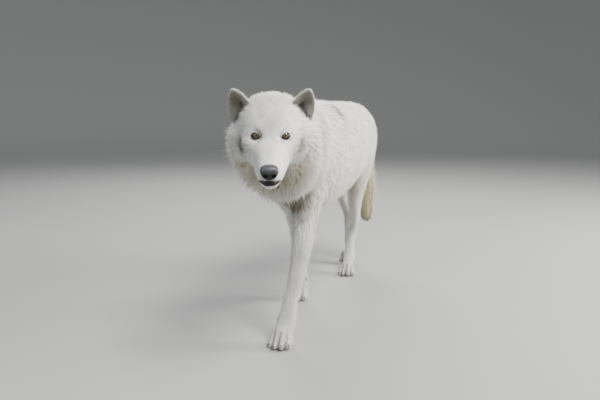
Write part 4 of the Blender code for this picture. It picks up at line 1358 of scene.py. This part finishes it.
class BodyCoat:
    """The coat of everything but the ears, cut into pieces by where its roots lie."""

    CUTS = (
        Cut("muzzle", count=12_500, fray=0.1, sway=0.08, uneven=0.25, stand=0.1),
        Cut("forehead", count=10_500, fray=0.14, sway=0.14, lock=0.007, pull=0.25, stand=0.22,
            gap_shade=0.16, clump=0.03),
        Cut("crown", count=9_500, fray=0.24, sway=0.22, lock=0.01, pull=0.35, stand=0.22,
            gap_shade=0.2, clump=0.04),
        Cut("cheeks", count=12_500, fray=0.18, sway=0.26, lock=0.013, pull=0.48, stand=0.26,
            gap_shade=0.22, clump=0.04),
        Cut("throat", count=8_500, fray=0.18, sway=0.3, lock=0.016, pull=0.52, stand=0.3,
            gap_shade=0.26, clump=0.05, shade=0.76),
        *(Cut("ruff_" + side, count=count, fray=0.16, sway=0.3, lock=0.018, pull=0.5,
              stand=0.3, gap_shade=0.22, clump=0.035, shade=0.78)
          for side, count in (("left", 11_000), ("right", 10_500))),
        Cut("chest", count=15_800, fray=0.12, sway=0.12, lock=0.014, pull=0.26, stand=0.17,
            gap_shade=0.1, clump=0.02, shade=0.78),
        Cut("loin", count=12_500, fray=0.12, sway=0.12, lock=0.013, pull=0.18, stand=0.14,
            gap_shade=0.09, clump=0.018, shade=0.78),
        Cut("rump", count=12_600, fray=0.11, sway=0.12, lock=0.014, pull=0.2, stand=0.15,
            gap_shade=0.1, clump=0.018, shade=0.78),
        Cut("tail", slot="tail_coat", count=6_500, fray=0.16, sway=0.22, lock=0.016, pull=0.4,
            stand=0.25, gap_shade=0.25, clump=0.05),
        *(Cut(f"{pair}_legs", count=10_500, fray=0.11, sway=0.08, lock=0.007, pull=0.14,
              stand=0.18, gap_shade=0.05) for pair in ("fore", "hind")),
    )
    CHEST_END = -0.02  # y of the cuts between chest, loin and rump
    LOIN_END = 0.27
    LEG_SPLIT = 0.25  # y between fore and hind legs
    LEG_TOP = 0.4  # height where the legs' pieces end
    RUFF_SPLIT = 0.03  # x between the ruff's sides
    MUZZLE_BACK, FOREHEAD_BACK = 0.035, -0.045  # forward places of the head's cuts
    SOLE = 0.0035  # no tufts below this height,
    BARE_LIDS = 1.42  # within this many openings of an eye's middle,
    BARE_LIPS = 0.0016  # this near the lips,
    NOSE = ((0.0, 0.146, -0.006), (0.021, 0.02, 0.018))  # or in this ellipsoid

    def __init__(self, hide: Hide, skin: Skin, lips: tuple[Array, Array]) -> None:
        """Find the middle and the part of each of the hide's triangles."""
        self.hide = hide
        self.lips = lips
        self.skin = skin
        self.skeleton = skin.skeleton
        self.middles = hide.points[hide.triangles].mean(1)
        self.parts = hide.region[hide.triangles[:, 0]]

    def bare(self) -> Array:
        """Triangles without tufts: between the lids, under the nose, and the soles."""
        found = self.middles[:, 2] < self.SOLE
        for centre, axes in self.skin.eyes.values():
            across, up, out = ((self.middles - centre) @ axes.T).T
            near = (np.hypot(across, up) < 0.03) & (np.abs(out) < 0.03)
            found |= near & (self.skin.opening.measure(across, up) < self.BARE_LIDS)
        local = self.skeleton.head.local(self.middles)
        nose = (local - self.NOSE[0]) / self.NOSE[1]
        cleft = (local[:, 1] > 0.13) & (np.abs(local[:, 0]) < 0.004)
        cleft &= np.abs(local[:, 2] + 0.026) < 0.008
        lips = off_line(self.middles, *self.lips) < self.BARE_LIPS
        return found | cleft | ((nose**2).sum(1) < 1.0) | lips

    def chosen(self, name: str) -> Array:
        """Which triangles bear a piece of the coat."""
        part = {kind: self.parts == PARTS.index(kind) for kind in Part}
        y = self.middles[:, 1]
        face, ahead = part[Part.FACE], self.skeleton.head.local(self.middles)[:, 1]
        legs = part[Part.LEG] | part[Part.PAW]
        low = self.middles[:, 2] < self.LEG_TOP
        body = part[Part.TRUNK] | (legs & ~low)
        legs = legs & low
        ruff = part[Part.NECK]
        left = self.middles[:, 0] > self.skeleton.shift[0] + self.RUFF_SPLIT
        masks = {
            "muzzle": face & (ahead > self.MUZZLE_BACK),
            "forehead": face & (ahead <= self.MUZZLE_BACK) & (ahead > self.FOREHEAD_BACK),
            "crown": face & (ahead <= self.FOREHEAD_BACK),
            "cheeks": part[Part.CHEEK], "throat": part[Part.THROAT],
            "ruff_left": ruff & left, "ruff_right": ruff & ~left,
            "chest": body & (y < self.CHEST_END),
            "loin": body & (y >= self.CHEST_END) & (y < self.LOIN_END),
            "rump": body & (y >= self.LOIN_END),
            "tail": part[Part.TAIL],
            "fore_legs": legs & (y < self.LEG_SPLIT),
            "hind_legs": legs & (y >= self.LEG_SPLIT),
        }
        return masks[name] & ~self.bare()

    def chart(self, name: str) -> Array:
        """The skin's own unwrap for a piece: round an axis through it, and along it.

        Head pieces turn round the muzzle's line, the tail and the legs round
        upright axes, each leg in a strip of its own, and the rest round the spine.
        """
        points = self.hide.points
        near, strips = 0, 1
        if name in ("muzzle", "forehead", "crown", "cheeks", "throat"):
            side, along, up = self.skeleton.head.local(points).T
            turn = np.arctan2(side, up + 0.03)
            v = (along + 0.2) / 0.38
        elif name == "tail":
            turn = np.arctan2(points[:, 0] - 0.02, points[:, 1] - 0.66)
            v = points[:, 2] / 0.75
        elif name in ("fore_legs", "hind_legs"):
            bones = [b for b in self.skeleton.bones if b.name.endswith(name[:4])]
            gaps = []
            for bone in bones:
                rows = bone.samples()
                x, y = (np.interp(-points[:, 2], -rows[:, 2], rows[:, k]) for k in (0, 1))
                gaps.append(points[:, :2] - np.stack([x, y], 1))
            far = [np.linalg.norm(gap, axis=1) for gap in gaps]
            near = np.where(far[0] < far[1], 0, 1)
            gap = np.where(near[:, None] == 0, gaps[0], gaps[1])
            turn = np.arctan2(gap[:, 0], gap[:, 1])
            v, strips = points[:, 2] / 0.45, 2
        else:
            turn = np.arctan2(points[:, 0], points[:, 2] - 0.55)
            v = (points[:, 1] + 0.6) / 1.35
        u = (near + 0.5 + turn / (2 * math.pi)) / strips
        return np.clip(np.stack([u, v], 1), 0.0, 1.0) * 0.98 + 0.01


# ---- head pieces
@dataclass(frozen=True)
class EyeFinish:
    """An amber iris round a black pupil under a wet, clear surface."""

    amber: Triple = (0.074, 0.043, 0.016)
    pale: Triple = (0.23, 0.155, 0.07)
    ring: Triple = (0.006, 0.0045, 0.004)
    pupil: float = 0.064  # ends of the bands, in half turns from the pole
    iris: float = 0.172

    def material(self) -> Material:
        """Bands by the distance from the pupil (v), and fibres along it."""
        tree = Tree("eye")
        place = tree.add("ShaderNodeUVMap", uv_map="Ball").outputs[0]
        parts = tree.add("ShaderNodeSeparateXYZ")
        tree.join(place, parts.inputs[0])
        away = parts.outputs[1]
        fibres = tree.noise(tree.stretched(place, (46.0, 9.0, 1.0)), 1.0, 3.0, 0.6)
        shine = tree.span(away, self.pupil, self.iris * 0.8)
        colour = tree.mix(shine, self.pale, self.amber)
        shade = tree.grey(tree.span(fibres, 0.3, 0.7, 0.55, 1.15))
        colour = tree.mix(1.0, colour, shade, "MULTIPLY")
        colour = tree.mix(tree.span(away, self.iris * 0.74, self.iris), colour, self.ring)
        hole = tree.span(away, self.pupil * 0.9, self.pupil)
        colour = tree.mix(hole, (0.003, 0.003, 0.003), colour)
        tree.dye(colour)
        tree.set(Roughness=0.25, Specular_IOR_Level=0.2, Coat_Weight=0.7, Coat_Roughness=0.03)
        return tree.material


@dataclass(frozen=True)
class NoseLeather:
    """Black pebbled leather, damp on top, with a painted grey sky sheen there."""

    black: Triple = (0.0075, 0.0072, 0.008)
    # grey: painted sky sheen, mixed in on the pebbles' crowns and on top
    grey: Triple = (0.092, 0.095, 0.114)

    def material(self) -> Material:
        """Pebbles of about a millimetre; a painted sky sheen greys their crowns, most on top, and
        painted shade blacks the nostrils.
        """
        tree = Tree("nose_leather")
        place = tree.object_place()
        cells = tree.add("ShaderNodeTexVoronoi", feature="SMOOTH_F1")
        cells.inputs["Scale"].default_value = 720.0
        tree.join(place, cells.inputs["Vector"])
        crown = tree.span(cells.outputs["Distance"], 0.1, 0.75, 1.0, 0.0)
        patch = tree.span(tree.noise(place, 90.0, 3.0), 0.35, 0.7)
        pale = tree.value(crown, patch, "MULTIPLY")
        pit = tree.attribute("Pit", "Fac")
        top = tree.attribute("Top", "Fac")
        pale = tree.value(tree.value(pale, 0.35, "ADD"), tree.value(top, 0.04, "ADD"), "MULTIPLY")
        colour = tree.mix(pale, self.black, self.grey)
        # Painted shade: the nostrils and slits (Pit) are painted black
        tree.dye(tree.mix(pit, colour, (0.001, 0.001, 0.001)))
        dull = tree.span(pit, 0.0, 0.6, 0.0, 0.5)
        dull = tree.value(dull, tree.span(top, 0.0, 1.0, 0.52, 0.36), "ADD")
        tree.join(dull, tree.shader.inputs["Roughness"])
        tree.set(Specular_IOR_Level=0.4)
        tree.bump(crown, 0.45, 0.0005)
        return tree.material


@dataclass(frozen=True)
class BareSkin:
    """The bare black edge of the lids and the lips, slightly moist."""

    name: str
    black: Triple = (0.0045, 0.0042, 0.0045)
    fold: Triple = (0.016, 0.014, 0.014)

    def material(self) -> Material:
        """Fine wrinkles, a little paler on their crests."""
        tree = Tree(self.name)
        wrinkles = tree.noise(tree.object_place(), 900.0, 3.0, 0.6)
        tree.dye(tree.mix(tree.span(wrinkles, 0.4, 0.7), self.black, self.fold))
        tree.bump(wrinkles, 0.3, 0.0002)
        tree.set(Roughness=0.5, Specular_IOR_Level=0.25)
        return tree.material


@dataclass(frozen=True)
class ClawHorn:
    """Dark horn with paler, worn streaks along its grain."""

    dark: Triple = (0.035, 0.028, 0.024)
    worn: Triple = (0.12, 0.098, 0.08)

    def material(self) -> Material:
        """Grain along the claw and a soft gloss."""
        tree = Tree("claw_horn")
        grain = tree.noise(tree.stretched(tree.object_place(), (900.0, 220.0, 900.0)), 1.0, 3.0)
        tree.dye(tree.mix(tree.span(grain, 0.35, 0.7), self.dark, self.worn))
        tree.bump(grain, 0.25, 0.0003)
        tree.set(Roughness=0.42, Coat_Weight=0.15, Coat_Roughness=0.25)
        return tree.material


@dataclass
class Eye:
    """One eyeball, with a cornea that bulges over the iris."""

    side: str
    centre: Array
    gaze: Array
    radius: float = 0.0125
    bulge: float = 0.0011
    spread: float = 0.62  # radians from the pole over which the cornea bulges
    rings: int = 40
    sides: int = 48

    def build(self, material: Material) -> Object:
        """A ball of rings round the gaze.

        A ring at polar angle p has the radius R plus the bulge times exp of
        minus (p over the spread) squared.
        """
        polar = np.linspace(0.02, math.pi - 0.02, self.rings)
        turn = all_round(self.sides)
        across = flat_part(np.array([1.0, 0.0, 0.0]), self.gaze)
        up = np.cross(self.gaze, across)
        size = self.radius + self.bulge * np.exp(-(polar / self.spread) ** 2)
        way = (np.cos(polar)[:, None, None] * self.gaze
               + np.sin(polar)[:, None, None] * (np.cos(turn)[:, None] * across
                                                 + np.sin(turn)[:, None] * up))
        points = self.centre + way * size[:, None, None]
        points = np.vstack([points.reshape(-1, 3), self.centre + self.gaze * size[0],
                            self.centre - self.gaze * size[-1]])
        triangles = turned_out(points, tube_triangles(self.rings, self.sides))
        mesh = mesh_of(self.side + "_eyeball", points, triangles)
        u, v = (turn / (2 * math.pi))[None], (polar / math.pi)[:, None]
        places = np.stack(np.broadcast_arrays(u, v), 2)
        unwrap(mesh, "Ball", np.vstack([places.reshape(-1, 2), [[0.5, 0.0]], [[0.5, 1.0]]]))
        thing = put(self.side + "_eyeball", mesh, material)
        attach(thing, ROOT)
        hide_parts(self.side + "_eye")
        return thing


@dataclass
class LidRim:
    """The bare black edge of one eye's lids."""

    side: str
    centre: Array
    axes: Array
    opening: EyeOpening
    at: float = 1.04  # where it runs, in openings
    half: tuple[float, float] = (0.001, 0.0008)  # along the lid, out of the face
    steps: int = 72
    sides: int = 10

    def build(self, material: Material) -> Object:
        """A closed ring that follows the opening over the eyeball.

        Each point starts in its direction from the opening's middle and moves
        out or in until the opening's measure is as given. Its section is an
        ellipse square to the ring.
        """
        turn = all_round(self.steps)
        across, up = np.cos(turn) * self.opening.outer, np.sin(turn) * self.opening.above
        for _ in range(12):
            off = self.at / self.opening.measure(across, up)
            across, up = across * off, up * off
        out = np.sqrt((self.opening.ball + self.opening.lid * 0.6) ** 2 - across**2 - up**2)
        local = np.stack([across, up, out], 1)
        along = unit(np.roll(local, -1, 0) - np.roll(local, 1, 0))
        away = flat_part(local, along)
        wide = np.cross(along, away)
        angle = all_round(self.sides)
        rings = (local[:, None] + np.cos(angle)[:, None] * self.half[0] * wide[:, None]
                 + np.sin(angle)[:, None] * self.half[1] * away[:, None])
        points = self.centre + rings.reshape(-1, 3) @ self.axes
        ring = np.arange(self.steps)[:, None] * self.sides
        after = (ring + self.sides) % (self.steps * self.sides)
        k = np.arange(self.sides)[None]
        k2 = (k + 1) % self.sides
        triangles = np.vstack([
            np.stack([ring + k, after + k, after + k2], 2).reshape(-1, 3),
            np.stack([ring + k, after + k2, ring + k2], 2).reshape(-1, 3)])
        name = self.side + "_lids"
        thing = put(name, mesh_of(name, points, turned_out(points, triangles)), material)
        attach(thing, ROOT)
        return thing


@dataclass
class Nose:
    """The nose pad: broad above, narrow below, with two nostrils and a groove."""

    head: HeadFrame
    centre: Triple = (0.0, 0.1425, -0.0055)
    half: Triple = (0.0205, 0.015, 0.0172)
    nostril: float = 0.0062  # how deep
    groove: float = 0.0014
    rings: int = 72
    sides: int = 96

    def build(self, material: Material) -> Object:
        """Rings round the forward axis of a squared-off ellipsoid.

        With a across and c up, each from -1 to 1, the width is cut below by 0.34
        of the 1.4th power of -c, the nostrils are bell-shaped pits at a = 0.47,
        each with a slit running out and back, and the groove is a bell round
        a = 0 that deepens downwards.
        """
        polar = np.linspace(0.015, math.pi - 0.03, self.rings)[:, None]
        turn = all_round(self.sides)[None]
        a, c = np.sin(polar) * np.cos(turn), np.sin(polar) * np.sin(turn)
        b = np.broadcast_to(np.cos(polar), a.shape)
        square = (np.abs(a) ** 2.5 + np.abs(b) ** 2.5 + np.abs(c) ** 2.5) ** (-1 / 2.5)
        a, b, c = a * square, b * square, c * square
        front = smoothstep(-0.1, 0.4, b)
        droop = c + 0.16 + 0.25 * (np.abs(a) - 0.46)
        pit = np.exp(-((np.abs(a) - 0.47) / 0.22) ** 2 - (droop / 0.24) ** 2)
        slit = np.exp(-((np.abs(a) - 0.82) / 0.26) ** 2 - ((c + 0.2) / 0.085) ** 2)
        cleft = np.exp(-(a / 0.06) ** 2) * smoothstep(0.25, -0.5, c)
        wing = np.exp(-((np.abs(a) - 0.74) / 0.16) ** 2 - ((c - 0.05) / 0.34) ** 2)
        width = 1.0 + 0.06 * c - 0.34 * np.maximum(-c, 0.0) ** 1.4
        side = a * self.half[0] * width - np.sign(a) * front * 0.0012 * slit
        forward = b * self.half[1] - front * (self.nostril * pit + 0.0026 * slit
                                              + self.groove * cleft - 0.001 * wing)
        up = c * self.half[2] - 0.0015 * front * pit
        local = np.stack([side, forward, up], 2).reshape(-1, 3) + self.centre
        ends = np.array([[0.0, forward[0].mean(), up[0].mean()],
                         [0.0, -self.half[1], 0.0]]) + self.centre
        points = self.head.world(np.vstack([local, ends]))
        triangles = turned_out(points, tube_triangles(self.rings, self.sides))
        mesh = mesh_of("nose_pad", points, triangles)
        # Pit: painted shade in the nostrils and slits
        hole = np.clip(1.25 * front * np.maximum(pit, slit * 0.7), 0.0, 1.0)
        # Top: where the painted sky sheen falls
        shades = {"Pit": hole, "Top": smoothstep(-0.05, 0.75, c)}
        for name, values in shades.items():
            values = np.append(values.ravel(), [0.0, 0.0])
            paint(mesh, name, np.repeat(values[:, None], 3, axis=1))
        thing = put("nose_pad", mesh, material)
        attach(thing, ROOT)
        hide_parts("nose")
        return thing


@dataclass
class Mouth:
    """The closed mouth: a line round the muzzle, and the dark lips along it."""

    head: HeadFrame
    # Where the line runs: forward of the eyes, height, half height of the lips
    front: Triple = (0.118, -0.0292, 0.0066)
    corner: Triple = (0.034, -0.056, 0.0009)
    sag: float = 0.0045  # how far the line dips between front and corner
    steps: int = 61
    lip: float = 0.0019  # how far the lips stand out
    within: float = 0.08  # of the muzzle's middle, where the skin is looked for
    sides: int = 14

    def line(self, tree: BVHTree) -> tuple[Array, Array, Array]:
        """The line's points on the skin, outward directions and half heights.

        The first two fifths of each side turn from straight ahead to the side
        round one centre, and the rest runs straight back.

        Args:
            tree: the skin's surface.

        Returns:
            Places, directions and half heights, from the right corner to the left.
        """
        share = np.linspace(-1.0, 1.0, self.steps)
        size = np.abs(share)
        turn = np.clip(size / 0.4, 0.0, 1.0) * math.pi / 2
        back = np.clip((size - 0.4) / 0.6, 0.0, 1.0)
        forward = self.front[0] + (self.corner[0] - self.front[0]) * back
        height = (self.front[1] + (self.corner[1] - self.front[1]) * size**0.9
                  - self.sag * np.sin(math.pi * size) * smoothstep(0.1, 0.5, size))
        starts = self.head.world(np.stack([0 * size, forward, height], 1))
        ways = self.head.way(np.stack([np.sign(share) * np.sin(turn), np.cos(turn), 0 * turn], 1))
        thin = smoothstep(0.08, 0.42, size) ** 0.7
        half = self.front[2] + (self.corner[2] - self.front[2]) * thin
        places = starts.copy()
        for place, way in zip(places, ways, strict=True):
            hit = tree.ray_cast(Vector(place), Vector(way), self.within)[0]
            if hit:
                place[:] = hit
        return places, ways, half

    def build(self, places: Array, ways: Array, half: Array,
              material: Material) -> Object:
        """The lips: a flattened closed tube carried along the line.

        Its section is an ellipse, half as tall as given and as thick as the
        lips stand out, narrowed to nothing at both corners.
        """
        for _ in range(3):
            middle = (places[:-2] + places[2:]) / 2
            places = np.vstack([places[:1], (places[1:-1] + middle) / 2, places[-1:]])
        along = unit(np.gradient(places, axis=0))
        out = flat_part(ways, along)
        up = np.cross(along, out)
        turn = all_round(self.sides)
        step = np.arange(self.steps)
        end = np.clip(np.minimum(step, self.steps - 1 - step) / 4, 0.15, 1)
        middle = places - out * self.lip * 0.55
        thick = np.cos(turn) * self.lip * 1.4 * end[:, None]
        tall = np.sin(turn) * (half * end)[:, None]
        rings = middle[:, None] + thick[..., None] * out[:, None] + tall[..., None] * up[:, None]
        points = np.vstack([rings.reshape(-1, 3), middle[:1], middle[-1:]])
        triangles = turned_out(points, tube_triangles(self.steps, self.sides))
        thing = put("lips", mesh_of("lips", points, triangles), material)
        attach(thing, ROOT)
        return thing


@dataclass
class Ear:
    """One ear: a cupped shell with a rounded rim, dark and furred inside."""

    side: str
    head: HeadFrame
    base: Triple = (0.07, -0.096, 0.006)
    tip: Triple = (0.092, -0.088, 0.081)
    facing: Triple = (0.16, 0.97, -0.12)
    half_width: float = 0.0318
    cup: float = 0.028
    wall: float = 0.0052
    sunk: float = 0.3  # how far it goes down into the head, in its length
    rings: int = 44
    sides: int = 56

    HAIR = (0.0135, 0.0125)  # its length outside and inside,
    EDGE_HAIR, FOOT_HAIR = 0.01, 0.016  # and what is added on the inner edge and the foot
    BARE = -0.12  # tufts start above this share of the height
    COAT = 0.0022  # the coat's depth, doubled in the hollow
    OUTSIDE = (0.8, 0.775, 0.72)
    INSIDE = (0.54, 0.5, 0.4)
    # Darkest in the hollow: partly the ear's darker skin, partly painted shade
    DEEP = (0.07, 0.05, 0.028)
    RIM = (0.82, 0.79, 0.72)

    def hide(self) -> Hide:
        """The shell as a surface with its own coat.

        At a share t of the height the half width is that of a rounded triangle,
        (1 - t^2.1)^0.62, and the section bends back by the cup times 1 - s^2,
        where s runs across. Both faces close round the rim, as cosine and sine.
        """
        hand = SIDES[self.side]
        mirror = np.array([hand, 1.0, 1.0])
        base, tip = (self.head.world(np.array(p) * mirror) for p in (self.base, self.tip))
        axis = unit(tip - base)
        facing = flat_part(self.head.way(np.array(self.facing) * mirror), axis)
        width = np.cross(axis, facing)
        reach = np.linalg.norm(tip - base) - 0.0015
        t = np.linspace(-self.sunk, 0.995, self.rings)[:, None]
        turn = all_round(self.sides)[None]
        above = np.maximum(t, 0.0)
        half = self.half_width * (1 - above**2.1) ** 0.62 * (1 - 0.16 * t) + 0.0008
        cup = self.cup * (1 - above) ** 0.8 + 0.001
        wall = self.wall * (1 - 0.45 * above)
        s = np.cos(turn)
        rise = np.sin(turn)
        bend = -cup * (1 - s**2) + np.sign(rise) * np.abs(rise) ** 0.75 * wall / 2
        points = (base + axis * (reach * t)[..., None] + width * (half * s)[..., None]
                  + facing * bend[..., None])
        ends = points[[0, -1]].mean(1)
        ends[1] += axis * 0.0008
        flat = np.vstack([points.reshape(-1, 3), ends])
        triangles = turned_out(flat, tube_triangles(self.rings, self.sides))
        front = np.broadcast_to(np.sin(turn) > 0.02, (self.rings, self.sides))
        edge = np.broadcast_to(np.abs(s), front.shape)
        tall = np.broadcast_to(above, front.shape)
        inner = -hand if width @ self.head.way([1, 0, 0]) > 0 else hand
        medial = np.broadcast_to(s * inner > 0, front.shape)
        within = self.HAIR[1] + self.EDGE_HAIR * (edge > 0.55) * medial
        length = np.where(front, within + self.FOOT_HAIR * (tall < 0.22), self.HAIR[0])
        length = length * (1 - 0.35 * tall)
        depth = self.COAT + self.COAT * front * (edge < 0.75) * (1 - tall)
        colours = self._colours(front, edge, tall)
        coat = [np.append(grid, grid[[0, -1], 0]) for grid in (depth, length)]
        hide = Hide(flat, triangles, *coat)
        inward = np.where(s[..., None] > 0, -width, width) * np.ones((self.rings, self.sides, 1))
        lean = (front & (edge > 0.45))[..., None] * 0.55
        flow = axis * (1 - lean) + inward * lean
        flow = np.concatenate([flow.reshape(-1, 3), np.stack([axis, axis])])
        hide.flow = flat_part(flow, hide.normals)
        hide.colours = np.concatenate([colours.reshape(-1, 3), colours[[0, -1], 0]])
        hide.lift = np.zeros(len(flat))
        hide.painted_shadow = np.zeros(len(flat))
        u, v = np.broadcast_arrays(turn / (2 * math.pi), (t + self.sunk) / (1 + self.sunk))
        start = 0.01 if hand > 0 else 0.51
        chart = np.stack([u.ravel() * 0.48 + start, v.ravel() * 0.97 + 0.01], 1)
        hide.chart = np.vstack([chart, chart[:1], chart[-1:]])
        bears = np.broadcast_to(t > self.BARE, front.shape)
        hide.bears = np.append(bears, [False, True])
        return hide

    def _colours(self, front: Array, edge: Array, tall: Array) -> Array:
        """White outside, a paler rim, grey-brown inside and darkest in the hollow, partly by
        painted shade.
        """
        hollow = np.clip(1.0 - np.hypot(edge / 0.5, (tall - 0.26) / 0.22), 0.0, 1.0) ** 0.7
        colours = mixed(self.INSIDE, self.OUTSIDE, smoothstep(0.5, 0.16, tall) * 0.92)
        colours = mixed(colours, self.DEEP, hollow)
        colours = mixed(colours, self.RIM, smoothstep(0.72, 0.98, edge))
        colours = mixed(colours, self.RIM, smoothstep(0.8, 1.0, tall) * 0.6)
        return mixed(self.OUTSIDE, colours, front)


# ---- studio
@dataclass
class Studio:
    """A pale floor, soft lamps and the camera."""

    eye_to_lens: Triple = (0.522, -1.383, 0.0716)
    look: tuple[float, float] = (-0.309, 0.951)  # the level part of its direction
    tilt: float = math.radians(8.7)  # below the level
    lens: float = 37.2  # mm, on a 36 mm sensor
    foot: float = 8.0  # radius where the floor starts to rise
    edge: float = 15.0
    wall: float = 7.0  # height at its edge
    floor_colour: Triple = (0.33, 0.33, 0.322)

    def camera(self, middle: Array) -> None:
        """The camera, placed from the midpoint between the eyes' centres."""
        data = bpy.data.cameras.new("camera")
        data.lens = self.lens
        data.sensor_width = 36.0
        level = Vector((*self.look, 0.0)).normalized() * math.cos(self.tilt)
        way = level + Vector((0.0, 0.0, -math.sin(self.tilt)))
        place = Vector(middle) + Vector(self.eye_to_lens)
        bpy.context.scene.camera = self._aimed(data, place, way)

    def _aimed(self, data: bpy.types.ID, place: Vector, way: Vector) -> Object:
        """A camera or a lamp at a place, turned to look along a way."""
        thing = linked(data.name, data)
        thing.location = place
        thing.rotation_euler = way.to_track_quat("-Z", "Y").to_euler()
        return thing

    def floor(self) -> None:
        """A wide floor that curves up into a backdrop all round.

        Rings of growing radius: level up to the foot of the curve, then rising
        as the square of the distance past it.
        """
        sides = 96
        radius = np.concatenate([[2.0, self.foot], np.linspace(self.foot, self.edge, 14)[1:]])
        height = self.wall * (np.maximum(radius - self.foot, 0.0) / (self.edge - self.foot)) ** 2
        angle = all_round(sides)
        ring = np.stack([np.cos(angle), np.sin(angle), 0 * angle], 1)
        rings = ring * radius[:, None, None] + [0.0, 0.0, 1.0] * height[:, None, None]
        points = np.vstack([rings.reshape(-1, 3), [[0.0, 0.0, 0.0]]])
        this = np.arange(sides)
        after = (this + 1) % sides
        faces = [np.stack([np.full(sides, len(points) - 1), this, after], 1)]
        for ring_start in range(0, (len(radius) - 1) * sides, sides):
            a, b = this + ring_start, after + ring_start
            faces += [np.stack([a, a + sides, b + sides], 1), np.stack([a, b + sides, b], 1)]
        finish = Tree("floor")
        finish.set(Base_Color=(*self.floor_colour, 1.0), Roughness=0.9)
        thing = put("floor", mesh_of("floor", points, np.vstack(faces)), finish.material)

    def lamp(self, name: str, place: tuple, target: tuple, size: float, power: float,
             colour: tuple = (1.0, 1.0, 1.0)) -> None:
        """A square soft box that shines from a place to a target."""
        data = bpy.data.lights.new(name, "AREA")
        data.size = size
        data.energy = power
        data.color = colour
        self._aimed(data, Vector(place), Vector(target) - Vector(place))

    def light(self) -> None:
        """A warm key and side lamp on the wolf's left, a cool fill, a rim light and the sky."""
        world = bpy.data.worlds.new("sky")
        bpy.context.scene.world = world
        world.use_nodes = True
        back = world.node_tree.nodes["Background"]
        back.inputs["Color"].default_value = (0.86, 0.9, 0.94, 1.0)
        back.inputs["Strength"].default_value = 0.48
        self.lamp("key", (2.3, -1.9, 3.9), (0.0, -0.2, 0.45), 1.6, 380.0, (1.0, 0.98, 0.94))
        self.lamp("fill", (-3.2, -2.8, 2.2), (0.0, -0.3, 0.5), 2.4, 60.0, (0.87, 0.94, 1.0))
        self.lamp("rim", (-1.4, 3.2, 3.2), (0.0, 0.2, 0.5), 2.0, 150.0)
        self.lamp("side", (3.4, 1.4, 1.5), (0.05, 0.75, 0.35), 1.8, 270.0, (1.0, 0.985, 0.96))


def report(thing: Object) -> None:
    """Log a piece's name and how many triangles it has."""
    count = len(thing.data.polygons)
    much = "" if count < MOST_TRIANGLES else ", TOO MANY"
    LOG.info("%s: %d triangles%s", thing.name, count, much)


def main() -> None:
    """Build the wolf piece by piece and report each."""
    logging.basicConfig(level=logging.INFO, format="%(message)s")
    skeleton = Skeleton()
    studio = Studio()
    studio.camera(np.mean(list(skeleton.eyes.values()), axis=0))
    studio.floor()
    studio.light()
    skin = Skin(skeleton)
    hide = skin.hide()
    mouth = Mouth(skeleton.head)
    line = mouth.line(BVHTree.FromPolygons(hide.points.tolist(), hide.triangles.tolist()))
    lips = (line[0], line[2])
    outline = hide.points + hide.normals * hide.depth[:, None]
    hide.colours = Markings(skin, lips).colours(outline)
    leather = NoseLeather().material()
    lid_skin = BareSkin("lid_skin").material()
    ears = [Ear(side, skeleton.head).hide() for side in SIDES]
    report(skin.piece(hide, ears, SkinFinish().material()))
    report(mouth.build(*line, BareSkin("lip_skin", fold=(0.03, 0.025, 0.022)).material()))
    report(Nose(skeleton.head).build(leather))
    eye_finish = EyeFinish().material()
    gaze = unit(np.array(studio.eye_to_lens))
    for side, centre in skeleton.eyes.items():
        report(Eye(side, centre, gaze).build(eye_finish))
    for side, (centre, axes) in skin.eyes.items():
        report(LidRim(side, centre, axes, skin.opening).build(lid_skin))
    coat = Coat(hide)
    cuts = BodyCoat(hide, skin, lips)
    finish = CoatFinish().material()
    for seed, cut in enumerate(cuts.CUTS, 1):
        tufts = coat.grow(cuts.chosen(cut.name), cut, cuts.chart(cut.name), seed)
        report(coat.piece(tufts, cut, finish))
    for seed, (side, shell) in enumerate(zip(SIDES, ears, strict=True), 30):
        cut = Cut(side + "_ear", "ear_coat", count=3_200, fray=0.26, sway=0.22, stand=0.55)
        bearing = shell.bears[shell.triangles].all(1)
        ear_coat = Coat(shell)
        report(ear_coat.piece(ear_coat.grow(bearing, cut, shell.chart, seed), cut, finish))
    claws = ClawHorn().material()
    for name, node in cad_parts.items():
        if "claw" in name:
            node.data.materials.clear()
            node.data.materials.append(claws)


if __name__ == "__main__":
    main()
